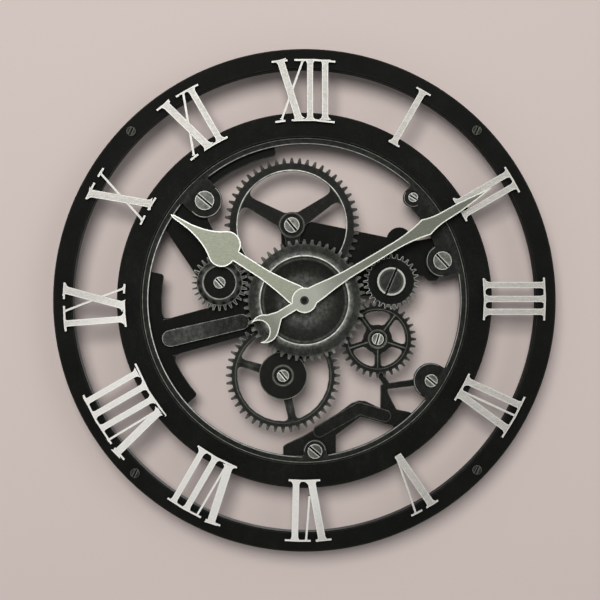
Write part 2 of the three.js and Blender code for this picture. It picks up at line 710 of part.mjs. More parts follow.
// Lower bridge: a cranked arm from the lower lug, with a post and two thin arms to the spoked gear
function addLowerBridge() {
  const lower = lugs[4];
  const lowerRight = lugs[3];
  const armFoot = lower.y - 4;
  const elbow = { x: spokedGearPlace.x + 8.5, y: spokedGearPlace.y - spokedGear.tip - 7 };
  const knee = { x: lower.x + 35.5, y: elbow.y - 11.5 };
  const rise = knee.y - armFoot;
  const gearFoot = { x: spokedGearPlace.x + 1, y: spokedGearPlace.y - spokedGear.tip + 4 };
  const crankedArm = polygon([
    [lower.x - 25.5, armFoot],
    [lower.x - 25.5, armFoot + 7],
    [lower.x - 23, armFoot + 9],
    [lower.x - 8.5, armFoot + rise * 0.36],
    [lower.x + 6, armFoot + rise * 0.55],
    [lower.x + 21, knee.y - 8.5],
    [knee.x - 6, knee.y - 2.2],
    [knee.x, knee.y],
    [knee.x + 5, knee.y - 0.4],
    [elbow.x - 6, knee.y - 6.2],
    [elbow.x + 7, knee.y - 7],
    [elbow.x + 17, knee.y - 9.2],
    [elbow.x + 29, knee.y - 14],
    [elbow.x + 16, knee.y - 32],
    [elbow.x + 3, knee.y - 20.2],
    [elbow.x - 7, knee.y - 17.2],
    [knee.x + 4, knee.y - 13.7],
    [knee.x + 1, knee.y - 13.2],
    [lower.x + 22.5, knee.y - 23.7],
    [lower.x + 17, knee.y - 27.5],
    [lower.x + 17, armFoot],
  ]);
  const post = polygon([
    [elbow.x - 6, knee.y - 8],
    [elbow.x - 6, elbow.y + 0.4],
    [elbow.x - 4.6, elbow.y + 1.4],
    [elbow.x, elbow.y + 1.4],
    [elbow.x, elbow.y - 5],
    [elbow.x + 3.4, elbow.y - 12],
    [elbow.x + 7.4, knee.y - 8],
  ]);
  const flats = [
    crankedArm,
    post,
    strip(elbow, thinArmWidth, lowerRight, thinArmWidth + 1),
    strip(elbow, thinArmWidth, gearFoot, thinArmWidth),
    strip(gearFoot, thinArmWidth, spokedGearPlace, thinArmWidth),
  ];
  const rounds = [
    cylinder(elbow, thinArmWidth / 2, plateBack, plateFront, 16),
    cylinder(gearFoot, thinArmWidth / 2, plateBack, plateFront, 16),
    cylinder(spokedGearPlace, spokedCollarRadius - 1, plateBack, plateFront),
    cylinder(lowerRight, lowerRight.radius - 5, plateBack, plateFront),
  ];
  const whole = joinAll(flats.map((flat) => plate(flat, plateBack, plateFront)).concat(rounds));
  const bores = [lower, lowerRight, spokedGearPlace].map((place) => (
    cylinder(place, screwBore, plateBack - 1, plateFront + 1, 12)
  ));
  const raisedFoot = { x: lower.x + 3.5, y: lower.y + 15.5 };
  const raisedKnee = { x: knee.x, y: knee.y - 6.2 };
  const raisedEnd = { x: elbow.x - 2.5, y: knee.y - 12.2 };
  const raised = joinAll([
    plate(strip(raisedFoot, raisedArmWidth, raisedKnee), plateBack, plateFront + raisedArmHeight),
    plate(strip(raisedKnee, raisedArmWidth, raisedEnd), plateBack, plateFront + raisedArmHeight),
    ...[raisedFoot, raisedKnee, raisedEnd].map((place) => (
      cylinder(place, raisedArmWidth / 2, plateBack, plateFront + raisedArmHeight, 16)
    )),
  ]);
  addPiece('lower_bridge', insideRing(whole).subtract(joinAll(bores)).add(raised), blackSatin);
}

// Round-ended bar on the left arm
function addLeftBar() {
  const bar = joinAll([
    plate(strip(barStart, barWidth, barEnd, barWidth - 1), plateFront, plateFront + barThickness),
    cylinder(barStart, barWidth / 2, plateFront, plateFront + barThickness),
    cylinder(barEnd, barWidth / 2 - 0.5, plateFront, plateFront + barThickness),
  ]);
  addPiece('left_bar', bar, gunmetal);
}

// Places a gear body at its height
function addGear(name, solid, place, back, finish) {
  const gear = addPiece(name, solid, finish);
  gear.position.set(place.x, place.y, back);
}

function gearBore(front) {
  return cylinder(centre, screwBore, -gearThickness * 2, front + 1, 12);
}

// Upper ring gear: three tapered arms and a raised hub
function addUpperGear() {
  const rim = upperGear.tip - upperGear.depth - upperGearRim;
  const outline = armedOutline(upperGear, rim, upperGearArms);
  const body = plate(outline, 0, gearThickness, 5);
  const collar = cylinder(centre, upperGearArms.hub, 0, gearThickness + collarHeight, 28);
  const cup = cylinder(centre, upperGearArms.hub - upperHubWall, gearThickness, gearThickness + collarHeight + 1, 28);
  const whole = body.add(collar).subtract(cup).subtract(gearBore(gearThickness));
  addGear('upper_gear', whole, upperGearPlace, plateFront, gunmetal);
}

// Lower ring gear, with the round disc and collar that hide its hub
function addLowerGear() {
  const rim = lowerGear.tip - lowerGear.depth - lowerGearRim;
  const outline = armedOutline(lowerGear, rim, lowerGearArms);
  const body = plate(outline, 0, gearThickness, 4);
  addGear('lower_gear', body.subtract(gearBore(gearThickness)), lowerGearPlace, plateFront, gunmetal);
  const discFront = gearThickness - levelGap;
  const disc = turned([
    [screwBore, 0],
    [lowerDiscRadius, 0],
    [lowerDiscRadius, discFront],
    [lowerCollarRadius, discFront],
    [lowerCollarRadius, discFront + collarHeight],
    [lowerCollarRadius - collarWall, discFront + collarHeight],
    [lowerCollarRadius - collarWall, discFront],
    [screwBore, discFront],
    [screwBore, 0],
  ], 28);
  addGear('lower_disc', disc, lowerGearPlace, lowFront, darkIron);
}

// Spoked gear: five straight arms and a collar round its screw
function addSpokedGear() {
  const rim = spokedGear.tip - spokedGear.depth - spokedGearRim;
  const outline = armedOutline(spokedGear, rim, spokedGearArms);
  const body = plate(outline, 0, gearThickness, 3);
  const collar = cylinder(centre, spokedCollarRadius, 0, gearThickness + collarHeight);
  const cup = cylinder(centre, spokedCollarRadius - collarWall, gearThickness, gearThickness + collarHeight + 1);
  const whole = body.add(collar).subtract(cup).subtract(gearBore(gearThickness));
  addGear('spoked_gear', whole, spokedGearPlace, plateFront, gunmetal);
}

// Left and right gears stand a level higher, on bosses of their own
function addSideGears() {
  const boss = cylinder(centre, gearBossRadius, plateFront - midBack, 1);
  const leftBody = plate(toothedOutline(leftGear), 0, gearThickness);
  const step = turned([
    [0, 0],
    [leftGearRecess + leftGearSlope, 0],
    [leftGearRecess + leftGearSlope, gearThickness],
    [leftGearRecess + 1, gearThickness + recessDepth],
    [0, gearThickness + recessDepth],
  ], 28);
  const recess = cylinder(centre, leftGearRecess, gearThickness - recessDepth, gearThickness * 2, 28);
  const left = leftBody.add(step).add(boss).subtract(recess).subtract(gearBore(gearThickness));
  addGear('left_gear', left, leftGearPlace, midBack, gunmetal);
  const rightBody = plate(toothedOutline(rightGear), 0, gearThickness);
  const right = rightBody.add(boss).subtract(gearBore(gearThickness));
  addGear('right_gear', right, rightGearPlace, midBack, darkIron);
}

// Middle gear: a sloping toothed rim round a bowl, with a spacer behind it
function addMiddleGear() {
  const teeth = plate(toothedOutline(middleGear), 0, middleToothHeight);
  const root = middleGear.tip - middleGear.depth;
  const slope = turned([
    [0, 0],
    [root, 0],
    [root, middleToothHeight],
    [dishRadius + dishLip, middleGearThickness],
    [0, middleGearThickness],
  ], 40);
  const bowl = [[0, dishFloor]];
  for (let ring = 0; ring <= dishRings; ring += 1) {
    const share = ring / dishRings;
    bowl.push([dishFlat + (dishRadius - dishFlat) * share, dishFloor + (middleGearThickness - dishFloor) * share ** 2]);
  }
  bowl.push([dishRadius, middleGearThickness + 1], [0, middleGearThickness + 1]);
  const spacer = cylinder(centre, spacerRadius, plateFront - topBack, 1);
  const bore = cylinder(centre, bushRadius + fitGap, plateFront - topBack - 1, middleGearThickness + 1);
  const body = teeth.add(slope).subtract(turned(bowl, 36));
  addGear('middle_gear', body.add(spacer).subtract(bore), centre, topBack, gunmetal);
}

// The screws that hold the gears and the lugs
function addScrews() {
  const gripLow = gearThickness + plateThickness;
  const gripMid = gripLow + midBack - plateFront;
  addScrew('upper_gear_screw', upperGearPlace, lowFront, 6.2, gripLow, -50, brushedSilver);
  addScrew('spoked_gear_screw', spokedGearPlace, lowFront, 4.8, gripLow, 74, brushedSilver);
  const discSeat = lowFront + gearThickness - levelGap;
  addScrew('lower_gear_screw', lowerGearPlace, discSeat, 4.9, discSeat - plateBack, -50, brushedSilver);
  addScrew('left_gear_screw', leftGearPlace, midFront - recessDepth, 4.8, gripMid - recessDepth, -47, brushedSilver);
  addScrew('right_gear_screw', rightGearPlace, midFront, bigScrewRadius, gripMid, 67, brushedSilver, bigScrewHeight);
  const lugGrip = ledgeThickness + plateThickness;
  for (const lug of lugs) {
    addScrew(`${lug.name}_lug_screw`, lug, ledgeFront, lug.head, lugGrip, lug.slot, brushedSilver);
  }
}

// Movement case with its threaded bush, battery bay, knob socket and bore for the arbor
function addMovement() {
  const outline = roundedRectangle(caseSize, caseSize, caseCorner);
  const body = plate(outline, caseBack, plateBack, 2);
  const bush = cylinder(centre, bushRadius, plateBack - 1, plateBack + bushLength);
  const tubeBore = cylinder(centre, hourTubeOuter + fitGap, plateBack - tubeDepth - fitGap, plateBack + bushLength + 1);
  const arborBore = cylinder(centre, arborRadius + fitGap, plateBack - arborDepth - fitGap, plateBack, 16);
  const bay = plate(
    roundedRectangle(bayLength, (batteryRadius + fitGap) * 2, 1),
    caseBack - 1,
    plateBack - caseWall,
    2,
    { x: 0, y: -batteryOffset },
  );
  const stemBore = cylinder(knobPlace, arborRadius + fitGap, caseBack - 1, caseBack + knobStem + fitGap, 16);
  const cuts = joinAll([tubeBore, arborBore, bay, stemBore]);
  addPiece('movement_case', body.add(bush).subtract(cuts), casePlastic);
}

function roundedRectangle(width, height, radius) {
  const x = width / 2;
  const y = height / 2;
  const shape = new THREE.Shape();
  shape.moveTo(-x + radius, -y);
  shape.lineTo(x - radius, -y);
  shape.absarc(x - radius, -y + radius, radius, -Math.PI / 2, 0, false);
  shape.lineTo(x, y - radius);
  shape.absarc(x - radius, y - radius, radius, 0, Math.PI / 2, false);
  shape.lineTo(-x + radius, y);
  shape.absarc(-x + radius, y - radius, radius, Math.PI / 2, Math.PI, false);
  shape.lineTo(-x, -y + radius);
  shape.absarc(-x + radius, -y + radius, radius, Math.PI, Math.PI * 1.5, false);
  return shape;
}

// Battery lying across the bay, with a flat contact at each end
function addBattery() {
  const bodyLength = batteryLength - batteryNub;
  const cell = turned([
    [0, -batteryLength / 2],
    [batteryRadius - ringEdgeChamfer, -batteryLength / 2],
    [batteryRadius, -batteryLength / 2 + ringEdgeChamfer],
    [batteryRadius, bodyLength - batteryLength / 2 - ringEdgeChamfer],
    [batteryRadius - ringEdgeChamfer, bodyLength - batteryLength / 2],
    [batteryNubRadius, bodyLength - batteryLength / 2],
    [batteryNubRadius, batteryLength / 2],
    [0, batteryLength / 2],
  ], 16);
  const battery = addPiece('battery', cell, cellJacket);
  battery.rotation.y = Math.PI / 2;
  battery.position.set(0, -batteryOffset, batteryAxis);
  [-1, 1].forEach((side, index) => {
    const contact = box(centre, contactThickness, contactWidth, -contactWidth / 2, contactWidth / 2);
    const piece = addPiece(`battery_contact_${index + 1}`, contact, steel);
    piece.position.set(side * (bayLength - contactThickness) / 2, -batteryOffset, batteryAxis);
  });
}

// Washer and six-sided nut that clamp the middle gear to the bush
function addNut() {
  const bore = cylinder(centre, bushRadius + fitGap, dishFront - 1, topFront);
  const washer = cylinder(centre, washerRadius, dishFront, dishFront + washerThickness, 16);
  addPiece('washer', washer.subtract(bore), brass);
  const nutBack = dishFront + washerThickness;
  const nut = cylinder(centre, nutRadius, nutBack, nutBack + nutThickness, 6);
  addPiece('bush_nut', nut.subtract(bore), brass);
}

// Knob on the back of the movement that sets the hands
function addKnob() {
  const knobBack = caseBack - fitGap - knobThickness;
  const knob = turned([
    [0, knobBack],
    [knobRadius, knobBack],
    [knobRadius, knobBack + knobThickness],
    [arborRadius, knobBack + knobThickness],
    [arborRadius, caseBack + knobStem],
    [0, caseBack + knobStem],
  ], 16);
  addPiece('setting_knob', knob, casePlastic).position.set(knobPlace.x, knobPlace.y, 0);
}

// A hand from the two halves of its outline, with a round hub
function handBlank(halfOutline, back) {
  const halves = [-1, 1].map((side) => plate(halfOutline(side), back, back + handThickness));
  return joinAll([...halves, cylinder(centre, handHub, back, back + handThickness, 32)]);
}

// Half of the hour hand on one side of its length: a long neck, a round spade and a drawn-out tip
function hourHandHalf(side) {
  const shoulder = spade.radius * Math.sin(spade.end) + spade.lift;
  const half = new THREE.Shape();
  half.moveTo(0, 0);
  half.lineTo(hourHandLength, 0);
  half.lineTo(hourHandLength - 3, side * 1.3);
  half.lineTo(hourHandLength - 17.5, side * 2.3);
  half.quadraticCurveTo(spade.from + 16, side * 5, spade.from + spade.radius * Math.cos(spade.end), side * shoulder);
  half.absarc(spade.from, side * spade.lift, spade.radius, side * spade.end, side * Math.PI, side < 0);
  half.lineTo(spade.from - spade.radius, side * 4.3);
  half.lineTo(40, side * 4.4);
  half.quadraticCurveTo(24, side * 5.2, 10, side * 8);
  half.lineTo(0, side * 8.4);
  half.closePath();
  return half;
}

function addHourHand() {
  const tubeFront = hourHandBack + handThickness + 0.2;
  const tube = cylinder(centre, hourTubeOuter, plateBack - tubeDepth, tubeFront, 16);
  const tubeBore = cylinder(centre, hourTubeOuter - hourTubeWall, plateBack - tubeDepth - 1, tubeFront + 1, 12);
  addPiece('hour_tube', tube.subtract(tubeBore), brass);
  const bore = cylinder(centre, hourTubeOuter + fitGap, hourHandBack - 1, hourHandBack + handThickness + 1);
  const hand = addPiece('hour_hand', handBlank(hourHandHalf, hourHandBack).subtract(bore), handSilver);
  hand.rotation.z = hourHandAngle * degree;
}

// Half of the minute hand: a slim blade with a leaf towards its tip
function minuteHandHalf(side) {
  const half = new THREE.Shape();
  half.moveTo(0, 0);
  half.lineTo(minuteHandLength, 0);
  half.quadraticCurveTo(158, side * 2, 142, side * 3.5);
  half.lineTo(126, side * 4);
  half.quadraticCurveTo(118, side * 4.6, 112, side * 7);
  half.quadraticCurveTo(100, side * 3.6, 84, side * 3.2);
  half.lineTo(60, side * 3.35);
  half.lineTo(40, side * 3.7);
  half.lineTo(26, side * 4.8);
  half.lineTo(15, side * 6.3);
  half.lineTo(0, side * 7.6);
  half.closePath();
  return half;
}

// Minute hand with an open spanner for a tail
function addMinuteHand() {
  const front = minuteHandBack + handThickness;
  const reach = Math.sqrt(tailHead.radius ** 2 - (tailHead.x + tailFlare.end) ** 2);
  const neck = polygon([
    [0, tailNeck / 2],
    [-tailFlare.start, tailNeck / 2],
    [-tailFlare.end, tailHead.y + reach],
    [-tailFlare.end, tailHead.y - reach],
    [-tailFlare.start, -tailNeck / 2],
    [0, -tailNeck / 2],
  ]);
  const head = cylinder(tailHead, tailHead.radius, minuteHandBack, front, 28);
  const mouth = cylinder(tailMouth, tailMouth.radius, minuteHandBack - 1, front + 1, 28);
  const beyond = box({ x: -tailTips * 1.5, y: 0 }, tailTips, tailTips, minuteHandBack - 1, front + 1);
  const tail = plate(neck, minuteHandBack, front).add(head).subtract(mouth).subtract(beyond);
  const bore = cylinder(centre, arborRadius + fitGap, minuteHandBack - 1, front + 1, 16);
  const hand = addPiece('minute_hand', handBlank(minuteHandHalf, minuteHandBack).add(tail).subtract(bore), handSilver);
  hand.rotation.z = minuteHandAngle * degree;
}

// Arbor that turns the minute hand, and the cap nut on its end
function addArbor() {
  const arborFront = capBack + capThickness / 2;
  addPiece('minute_arbor', cylinder(centre, arborRadius, plateBack - arborDepth, arborFront, 12), steel);
  const cap = turned([
    [0, capBack],
    [capRadius, capBack],
    [capRadius, capBack + capThickness - ringEdgeChamfer],
    [capRadius - ringEdgeChamfer, capBack + capThickness],
    [0, capBack + capThickness],
  ], 16);
  const socket = cylinder(centre, arborRadius + fitGap, capBack - 1, arborFront + fitGap, 8);
  addPiece('minute_nut', cap.subtract(socket), darkIron);
}

// One numeral, standing on both ring faces: strokes flared into the serifs at both ends
function numeralShapes({ strokes, heads, feet }) {
  const shapes = [];
  for (const [top, bottom, width, stop] of strokes) {
    const headEdge = numeralHead - serifThickness / 2;
    const footEdge = numeralFoot + (stop ? stop * (numeralHead - numeralFoot) : serifThickness / 2);
    shapes.push(strip({ x: bottom, y: footEdge }, width, { x: top, y: headEdge }));
    const head = { x: top, y: headEdge };
    const foot = { x: bottom, y: footEdge };
    shapes.push(...flaredEnd(head, foot, width));
    if (!stop && feet.length > 0) {
      shapes.push(...flaredEnd(foot, head, width));
    }
  }
  for (const [from, to] of heads) {
    shapes.push(serif(from, to, numeralHead - serifThickness, numeralHead));
  }
  for (const [from, to] of feet) {
    shapes.push(serif(from, to, numeralFoot, numeralFoot + serifThickness));
  }
  return shapes;
}

// The end of a stroke, widening in two steps into its serif
function flaredEnd(end, otherEnd, width) {
  const bracket = Math.min(serifBracket, width / 2);
  const neck = towards(end, otherEnd, serifThickness / 2 + bracket);
  const waist = towards(end, otherEnd, serifThickness / 2 + bracket * bracketWaist);
  const waistWidth = width + bracket * bracketWaist * 2;
  return [strip(neck, width, waist, waistWidth), strip(waist, waistWidth, end, width + bracket * 2)];
}

// A serif follows the edge of its ring
function serif(from, to, inner, outer) {
  const middle = (inner + outer) / 2;
  const start = Math.acos(to / middle) / degree;
  const end = Math.acos(from / middle) / degree;
  return ringSector(inner, outer, start, end);
}

function addNumerals() {
  numerals.forEach((numeral, index) => {
    const shapes = numeralShapes(numeral).map((shape) => (
      plate(shape, ringFaceHeight, ringFaceHeight + numeralThickness, 1)
    ));
    const piece = addPiece(`numeral_${index + 1}`, joinAll(shapes), brushedSilver);
    piece.rotation.z = -(index + 1) * 30 * degree;
  });
}

clock.rotation.x = Math.PI / 2;
clock.position.z = -hangerHeight;
const standing = new THREE.Group();
standing.add(clock);

addHourRing();
addInnerRing();
addHanger();
addNumerals();
addSkeletonPlate();
addLowerBridge();
addLeftBar();
addUpperGear();
addLowerGear();
addSpokedGear();
addSideGears();
addMiddleGear();
addScrews();
addMovement();
addBattery();
addNut();
addKnob();
addHourHand();
addMinuteHand();
addArbor();

export default standing;
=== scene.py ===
import math

import bmesh
import bpy
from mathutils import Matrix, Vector


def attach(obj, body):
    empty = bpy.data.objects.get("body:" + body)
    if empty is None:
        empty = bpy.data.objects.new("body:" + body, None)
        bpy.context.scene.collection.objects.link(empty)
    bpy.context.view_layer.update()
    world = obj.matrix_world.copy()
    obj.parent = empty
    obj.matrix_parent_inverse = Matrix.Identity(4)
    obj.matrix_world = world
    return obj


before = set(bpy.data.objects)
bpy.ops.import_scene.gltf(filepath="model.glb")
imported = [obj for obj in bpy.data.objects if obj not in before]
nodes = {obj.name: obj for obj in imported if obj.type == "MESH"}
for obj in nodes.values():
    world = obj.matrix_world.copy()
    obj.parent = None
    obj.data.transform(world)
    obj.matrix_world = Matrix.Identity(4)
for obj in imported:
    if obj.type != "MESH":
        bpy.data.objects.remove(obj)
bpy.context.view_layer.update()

MM = 0.001
# The clock's middle, on the wall plane
MIDDLE = Vector((0, 0, -0.14285))


# Shader helpers

# Where a web colour turns from its straight part to its curved part
STRAIGHT_PART = 0.04045
# A Mix node's factor, its two colours and its result are these sockets
MIX_FACTOR, MIX_FIRST, MIX_SECOND, MIX_RESULT = 0, 6, 7, 2
# How many rays the shader sends out to find edges and corners
EDGE_SAMPLES = 6
CORNER_SAMPLES = 8


def linear(hex_colour):
    """A web colour as the linear colour that shaders take."""
    parts = [int(hex_colour[i:i + 2], 16) / 255 for i in (0, 2, 4)]
    curved = [p / 12.92 if p <= STRAIGHT_PART else ((p + 0.055) / 1.055) ** 2.4 for p in parts]
    return curved + [1]


def lighter(colour, gain, lift):
    """A linear colour multiplied by a gain, with a little added."""
    return [min(1, part * gain + lift) for part in colour[:3]] + [1]


class Tree:
    """A short way to write a material's nodes."""

    def __init__(self, name):
        self.material = bpy.data.materials.new(name)
        self.material.use_nodes = True
        self.tree = self.material.node_tree
        self.tree.nodes.clear()
        self.output = self.tree.nodes.new("ShaderNodeOutputMaterial")

    def put(self, node, socket, value):
        """Links a socket, given by its name or number, or sets its value."""
        if isinstance(value, bpy.types.NodeSocket):
            self.tree.links.new(value, node.inputs[socket])
        else:
            node.inputs[socket].default_value = value

    def add(self, kind, settings=None, **inputs):
        node = self.tree.nodes.new(kind)
        for key, value in (settings or {}).items():
            setattr(node, key, value)
        for key, value in inputs.items():
            self.put(node, key.replace("_", " "), value)
        return node

    def math(self, operation, first, second=0.0, clamp=False):
        node = self.add("ShaderNodeMath", {"operation": operation, "use_clamp": clamp})
        self.put(node, 0, first)
        self.put(node, 1, second)
        return node.outputs[0]

    def times(self, first, second, clamp=False):
        return self.math("MULTIPLY", first, second, clamp)

    def ramp(self, value, low, high, to_low=0.0, to_high=1.0):
        """Turns the range from low to high into another, and holds it there outside."""
        node = self.add("ShaderNodeMapRange", Value=value)
        for socket, item in (
            ("From Min", low), ("From Max", high), ("To Min", to_low), ("To Max", to_high),
        ):
            self.put(node, socket, item)
        return node.outputs["Result"]

    def mix(self, factor, first, second):
        node = self.add("ShaderNodeMix", {"data_type": "RGBA"})
        self.put(node, MIX_FACTOR, factor)
        self.put(node, MIX_FIRST, first)
        self.put(node, MIX_SECOND, second)
        return node.outputs[MIX_RESULT]

    def noise(self, scale, detail, roughness, stretch=None):
        where = self.add("ShaderNodeTexCoord").outputs["Object"]
        if stretch:
            mapping = self.add("ShaderNodeMapping", Vector=where, Scale=stretch)
            where = mapping.outputs["Vector"]
        node = self.add(
            "ShaderNodeTexNoise", Vector=where, Scale=scale, Detail=detail, Roughness=roughness
        )
        return node.outputs["Fac"]

    def edges(self, reach, low=0.02, high=0.3):
        """1 beside the edges of a piece and 0 on its flats."""
        rounded = self.add("ShaderNodeBevel", {"samples": EDGE_SAMPLES}, Radius=reach)
        plain = self.add("ShaderNodeNewGeometry")
        dot = self.add("ShaderNodeVectorMath", {"operation": "DOT_PRODUCT"})
        self.put(dot, 0, rounded.outputs["Normal"])
        self.put(dot, 1, plain.outputs["Normal"])
        bend = self.math("SUBTRACT", 1.0, dot.outputs["Value"], clamp=True)
        return self.ramp(bend, low, high)

    def corner_shade(self, reach, low=0.35, high=0.85):
        """Where painted shade goes: 1 deep in slots and corners and 0 on open faces."""
        light = self.add(
            "ShaderNodeAmbientOcclusion", {"samples": CORNER_SAMPLES}, Distance=reach
        )
        return self.ramp(light.outputs["AO"], low, high, 1.0, 0.0)

    def radius(self, centre):
        """How far a spot on the clock's face lies from a place, in millimetres."""
        spot = self.add("ShaderNodeNewGeometry").outputs["Position"]
        parts = self.add("ShaderNodeSeparateXYZ", Vector=spot).outputs
        across = self.math("SUBTRACT", parts["X"], centre[0] * MM)
        up = self.math("SUBTRACT", parts["Z"], MIDDLE.z + centre[1] * MM)
        square = self.math("ADD", self.times(across, across), self.times(up, up))
        return self.times(self.math("SQRT", square), 1 / MM)

    def radial_wear_and_light(self, centre, stops):
        """An amount that changes with the radius from a place, from radii and amounts: for
        rubbing, and on some pieces for painted light and shade.
        """
        limit = stops[-1][0]
        node = self.tree.nodes.new("ShaderNodeValToRGB")
        self.put(node, 0, self.math("DIVIDE", self.radius(centre), limit))
        elements = node.color_ramp.elements
        for element, (_, amount) in zip((elements[0], elements[1]), (stops[0], stops[-1])):
            element.color = (amount, amount, amount, 1)
        for radius, amount in stops[1:-1]:
            elements.new(radius / limit).color = (amount, amount, amount, 1)
        return node.outputs["Color"]

    def rough(self, value, roughness, more, less, low, high):
        """A roughness that changes a little with a noise."""
        return self.ramp(value, low, high, roughness + more, roughness + less)

    def finish(self, shader):
        self.tree.links.new(shader, self.output.inputs["Surface"])
        return self.material

    def surface(self, colour, metallic, roughness, specular, height, bump, depth):
        """The finished material, with a bump of a strength and a depth from a height."""
        bent = self.add("ShaderNodeBump", Strength=bump, Distance=depth, Height=height)
        shader = self.add("ShaderNodeBsdfPrincipled", Metallic=metallic, Roughness=roughness)
        self.put(shader, "Base Color", colour)
        self.put(shader, "Specular IOR Level", specular)
        self.put(shader, "Normal", bent.outputs["Normal"])
        return self.finish(shader.outputs["BSDF"])


# Finishes. Each is a pair: one for faces and one for their rounded edges

# Noise patterns: spots to a metre, detail, roughness and, for some, a stretch
CAST_BROAD = (26, 4, 0.6)
CAST_FINE = (900, 4, 0.6)
CAST_STREAK = (170, 6, 0.72, (1.0, 1.0, 0.55))
CAST_CLOUD = (330, 5, 0.65)
EDGE_BROAD = (40, 3, 0.6)
EDGE_STREAK = (240, 5, 0.7)
BRUSH_LINES = (260, 5, 0.7)
BRUSH_CLOUD = (34, 4, 0.6)
BRUSH_PATCH = (210, 4, 0.6)
BRUSH_FINE = (1100, 3, 0.6)
MOULD_FINE = (1500, 2, 0.5)
MOULD_CLOUD = (40, 3, 0.5)
LONG_GRAIN = (1.0, 1.0, 6.0)

# The stretch of its noise over which each effect comes in, and its amounts if not 0 and 1
CAST_TONE = (0.3, 0.72)
RUB_STREAKS = (0.34, 0.62, 0.15, 1.0)
PATCH_BROAD = (0.4, 0.66)
PATCH_STREAKS = (0.46, 0.7)
FLECK_FINE = (0.5, 0.7)
FLECK_CLOUD = (0.4, 0.62)
UNEVEN_CLOUD = (0.32, 0.68, 0.35, 1.6)
UNEVEN_STREAKS = (0.3, 0.66, 0.5, 1.4)
EDGE_RUB_STREAKS = (0.32, 0.58, 0.4, 1.0)
EDGE_RUB_BROAD = (0.34, 0.58, 0.55, 1.0)
BRUSH_TONE = (0.3, 0.7)
STAIN_CLOUD = (0.5, 0.8)
STAIN_PATCH = (0.45, 0.62)
STAIN_FINE = (0.46, 0.6)
SHINE_LINES = (0.25, 0.55, 0.65, 1.0)

# How far rubbing shows beside an edge, and for some the bends where it starts and is whole
CAST_RUB = (1.3 * MM, 0.01, 0.3)
BRUSH_RUB = (1.5 * MM, 0.004, 0.07)
OUTLINE = (1.8 * MM, 0.002, 0.035)
MOULD_RUB = 0.5 * MM
# How far painted shade reaches out of a corner. In a slot it is whole up to the first share of
# open sky, and gone from the second
CAST_SHADE_REACH = 3.5 * MM
EDGE_SHADE_REACH = 2.5 * MM
SLOT_SHADE_REACH = (1.3 * MM, 0.3, 0.5)
# The strength and depth of each bump, and what a coarser noise adds to a finer one's height
CAST_BUMP = (0.25, 0.12 * MM)
EDGE_BUMP = (0.2, 0.08 * MM)
BRUSH_BUMP = (0.22, 0.06 * MM)
MOULD_BUMP = (0.2, 0.05 * MM)
STREAK_HEIGHT = 0.8
FINE_HEIGHT = 0.6
# A gain and a lift for the lighter tones of paint, of plastic, and of rubbed plastic
CAST_LIGHTER = (1.6, 0.001)
MOULD_LIGHTER = (1.35, 0.002)
MOULD_RUBBED = (2.6, 0.01)
# The shares of patches in the flecks, of painted corner shade on edges, and of rubbing on
# plastic
PATCH_SHARE = 0.6
EDGE_SHADE_SHARE = 0.5
MOULD_RUB_SHARE = 0.3
# Where silver shows through, the paint's share of metal becomes this
RUBBED_FACE_METAL = 0.35
RUBBED_EDGE_METAL = 0.3
# A brushed edge has this share of its faces' metal
BRUSHED_EDGE_METAL = 0.5
# How much rougher and smoother a finish gets, and over which stretch of its noise
CAST_ROUGH = (0.04, -0.12, 0.3, 1.5)
EDGE_ROUGH = (0.0, -0.12, 0, 1)
BRUSH_ROUGH = (0.08, -0.05, 0.25, 0.75)
MOULD_ROUGH = (0.06, -0.06, 0.2, 0.8)
# The painted shade that fills corners, and the corners of slots
CORNER_SHADE = "030402"
SLOT_CORNER_SHADE = "060705"


def cast_body(name, base, rub, roughness, metallic, fleck, beside, specular, stain_and_shade, wear_and_light_at):
    """Dark paint over a casting, dry-brushed with silver on its high spots, with painted shade
    in its corners.
    """
    t = Tree(name)
    broad = t.noise(*CAST_BROAD)
    fine = t.noise(*CAST_FINE)
    streak = t.noise(*CAST_STREAK)
    cloud = t.noise(*CAST_CLOUD)
    dark = linear(base)
    body = t.mix(t.ramp(broad, *CAST_TONE), dark, lighter(dark, *CAST_LIGHTER))
    soft = t.times(t.edges(*CAST_RUB), t.ramp(streak, *RUB_STREAKS))
    soft = t.times(soft, beside, clamp=True)
    patches = t.times(t.ramp(broad, *PATCH_BROAD), t.ramp(streak, *PATCH_STREAKS))
    flecks = t.times(t.ramp(fine, *FLECK_FINE), t.ramp(cloud, *FLECK_CLOUD))
    flecks = t.math("ADD", flecks, t.times(patches, PATCH_SHARE))
    rubbed = t.math("MAXIMUM", soft, t.times(flecks, fleck, clamp=True))
    if wear_and_light_at:
        uneven = t.times(t.ramp(cloud, *UNEVEN_CLOUD), t.ramp(streak, *UNEVEN_STREAKS))
        rubbed = t.math("MAXIMUM", rubbed, t.times(t.radial_wear_and_light(*wear_and_light_at), uneven), clamp=True)
    colour = t.mix(rubbed, body, linear(rub))
    # Corners are darkened towards near-black as painted shade
    colour = t.mix(t.times(t.corner_shade(CAST_SHADE_REACH), stain_and_shade, clamp=True), colour, linear(CORNER_SHADE))
    height = t.math("ADD", fine, t.times(streak, STREAK_HEIGHT))
    metal = t.ramp(rubbed, 0, 1, metallic, RUBBED_FACE_METAL)
    coarse = t.rough(t.math("ADD", fine, rubbed), roughness, *CAST_ROUGH)
    return t.surface(colour, metal, coarse, specular, height, *CAST_BUMP)


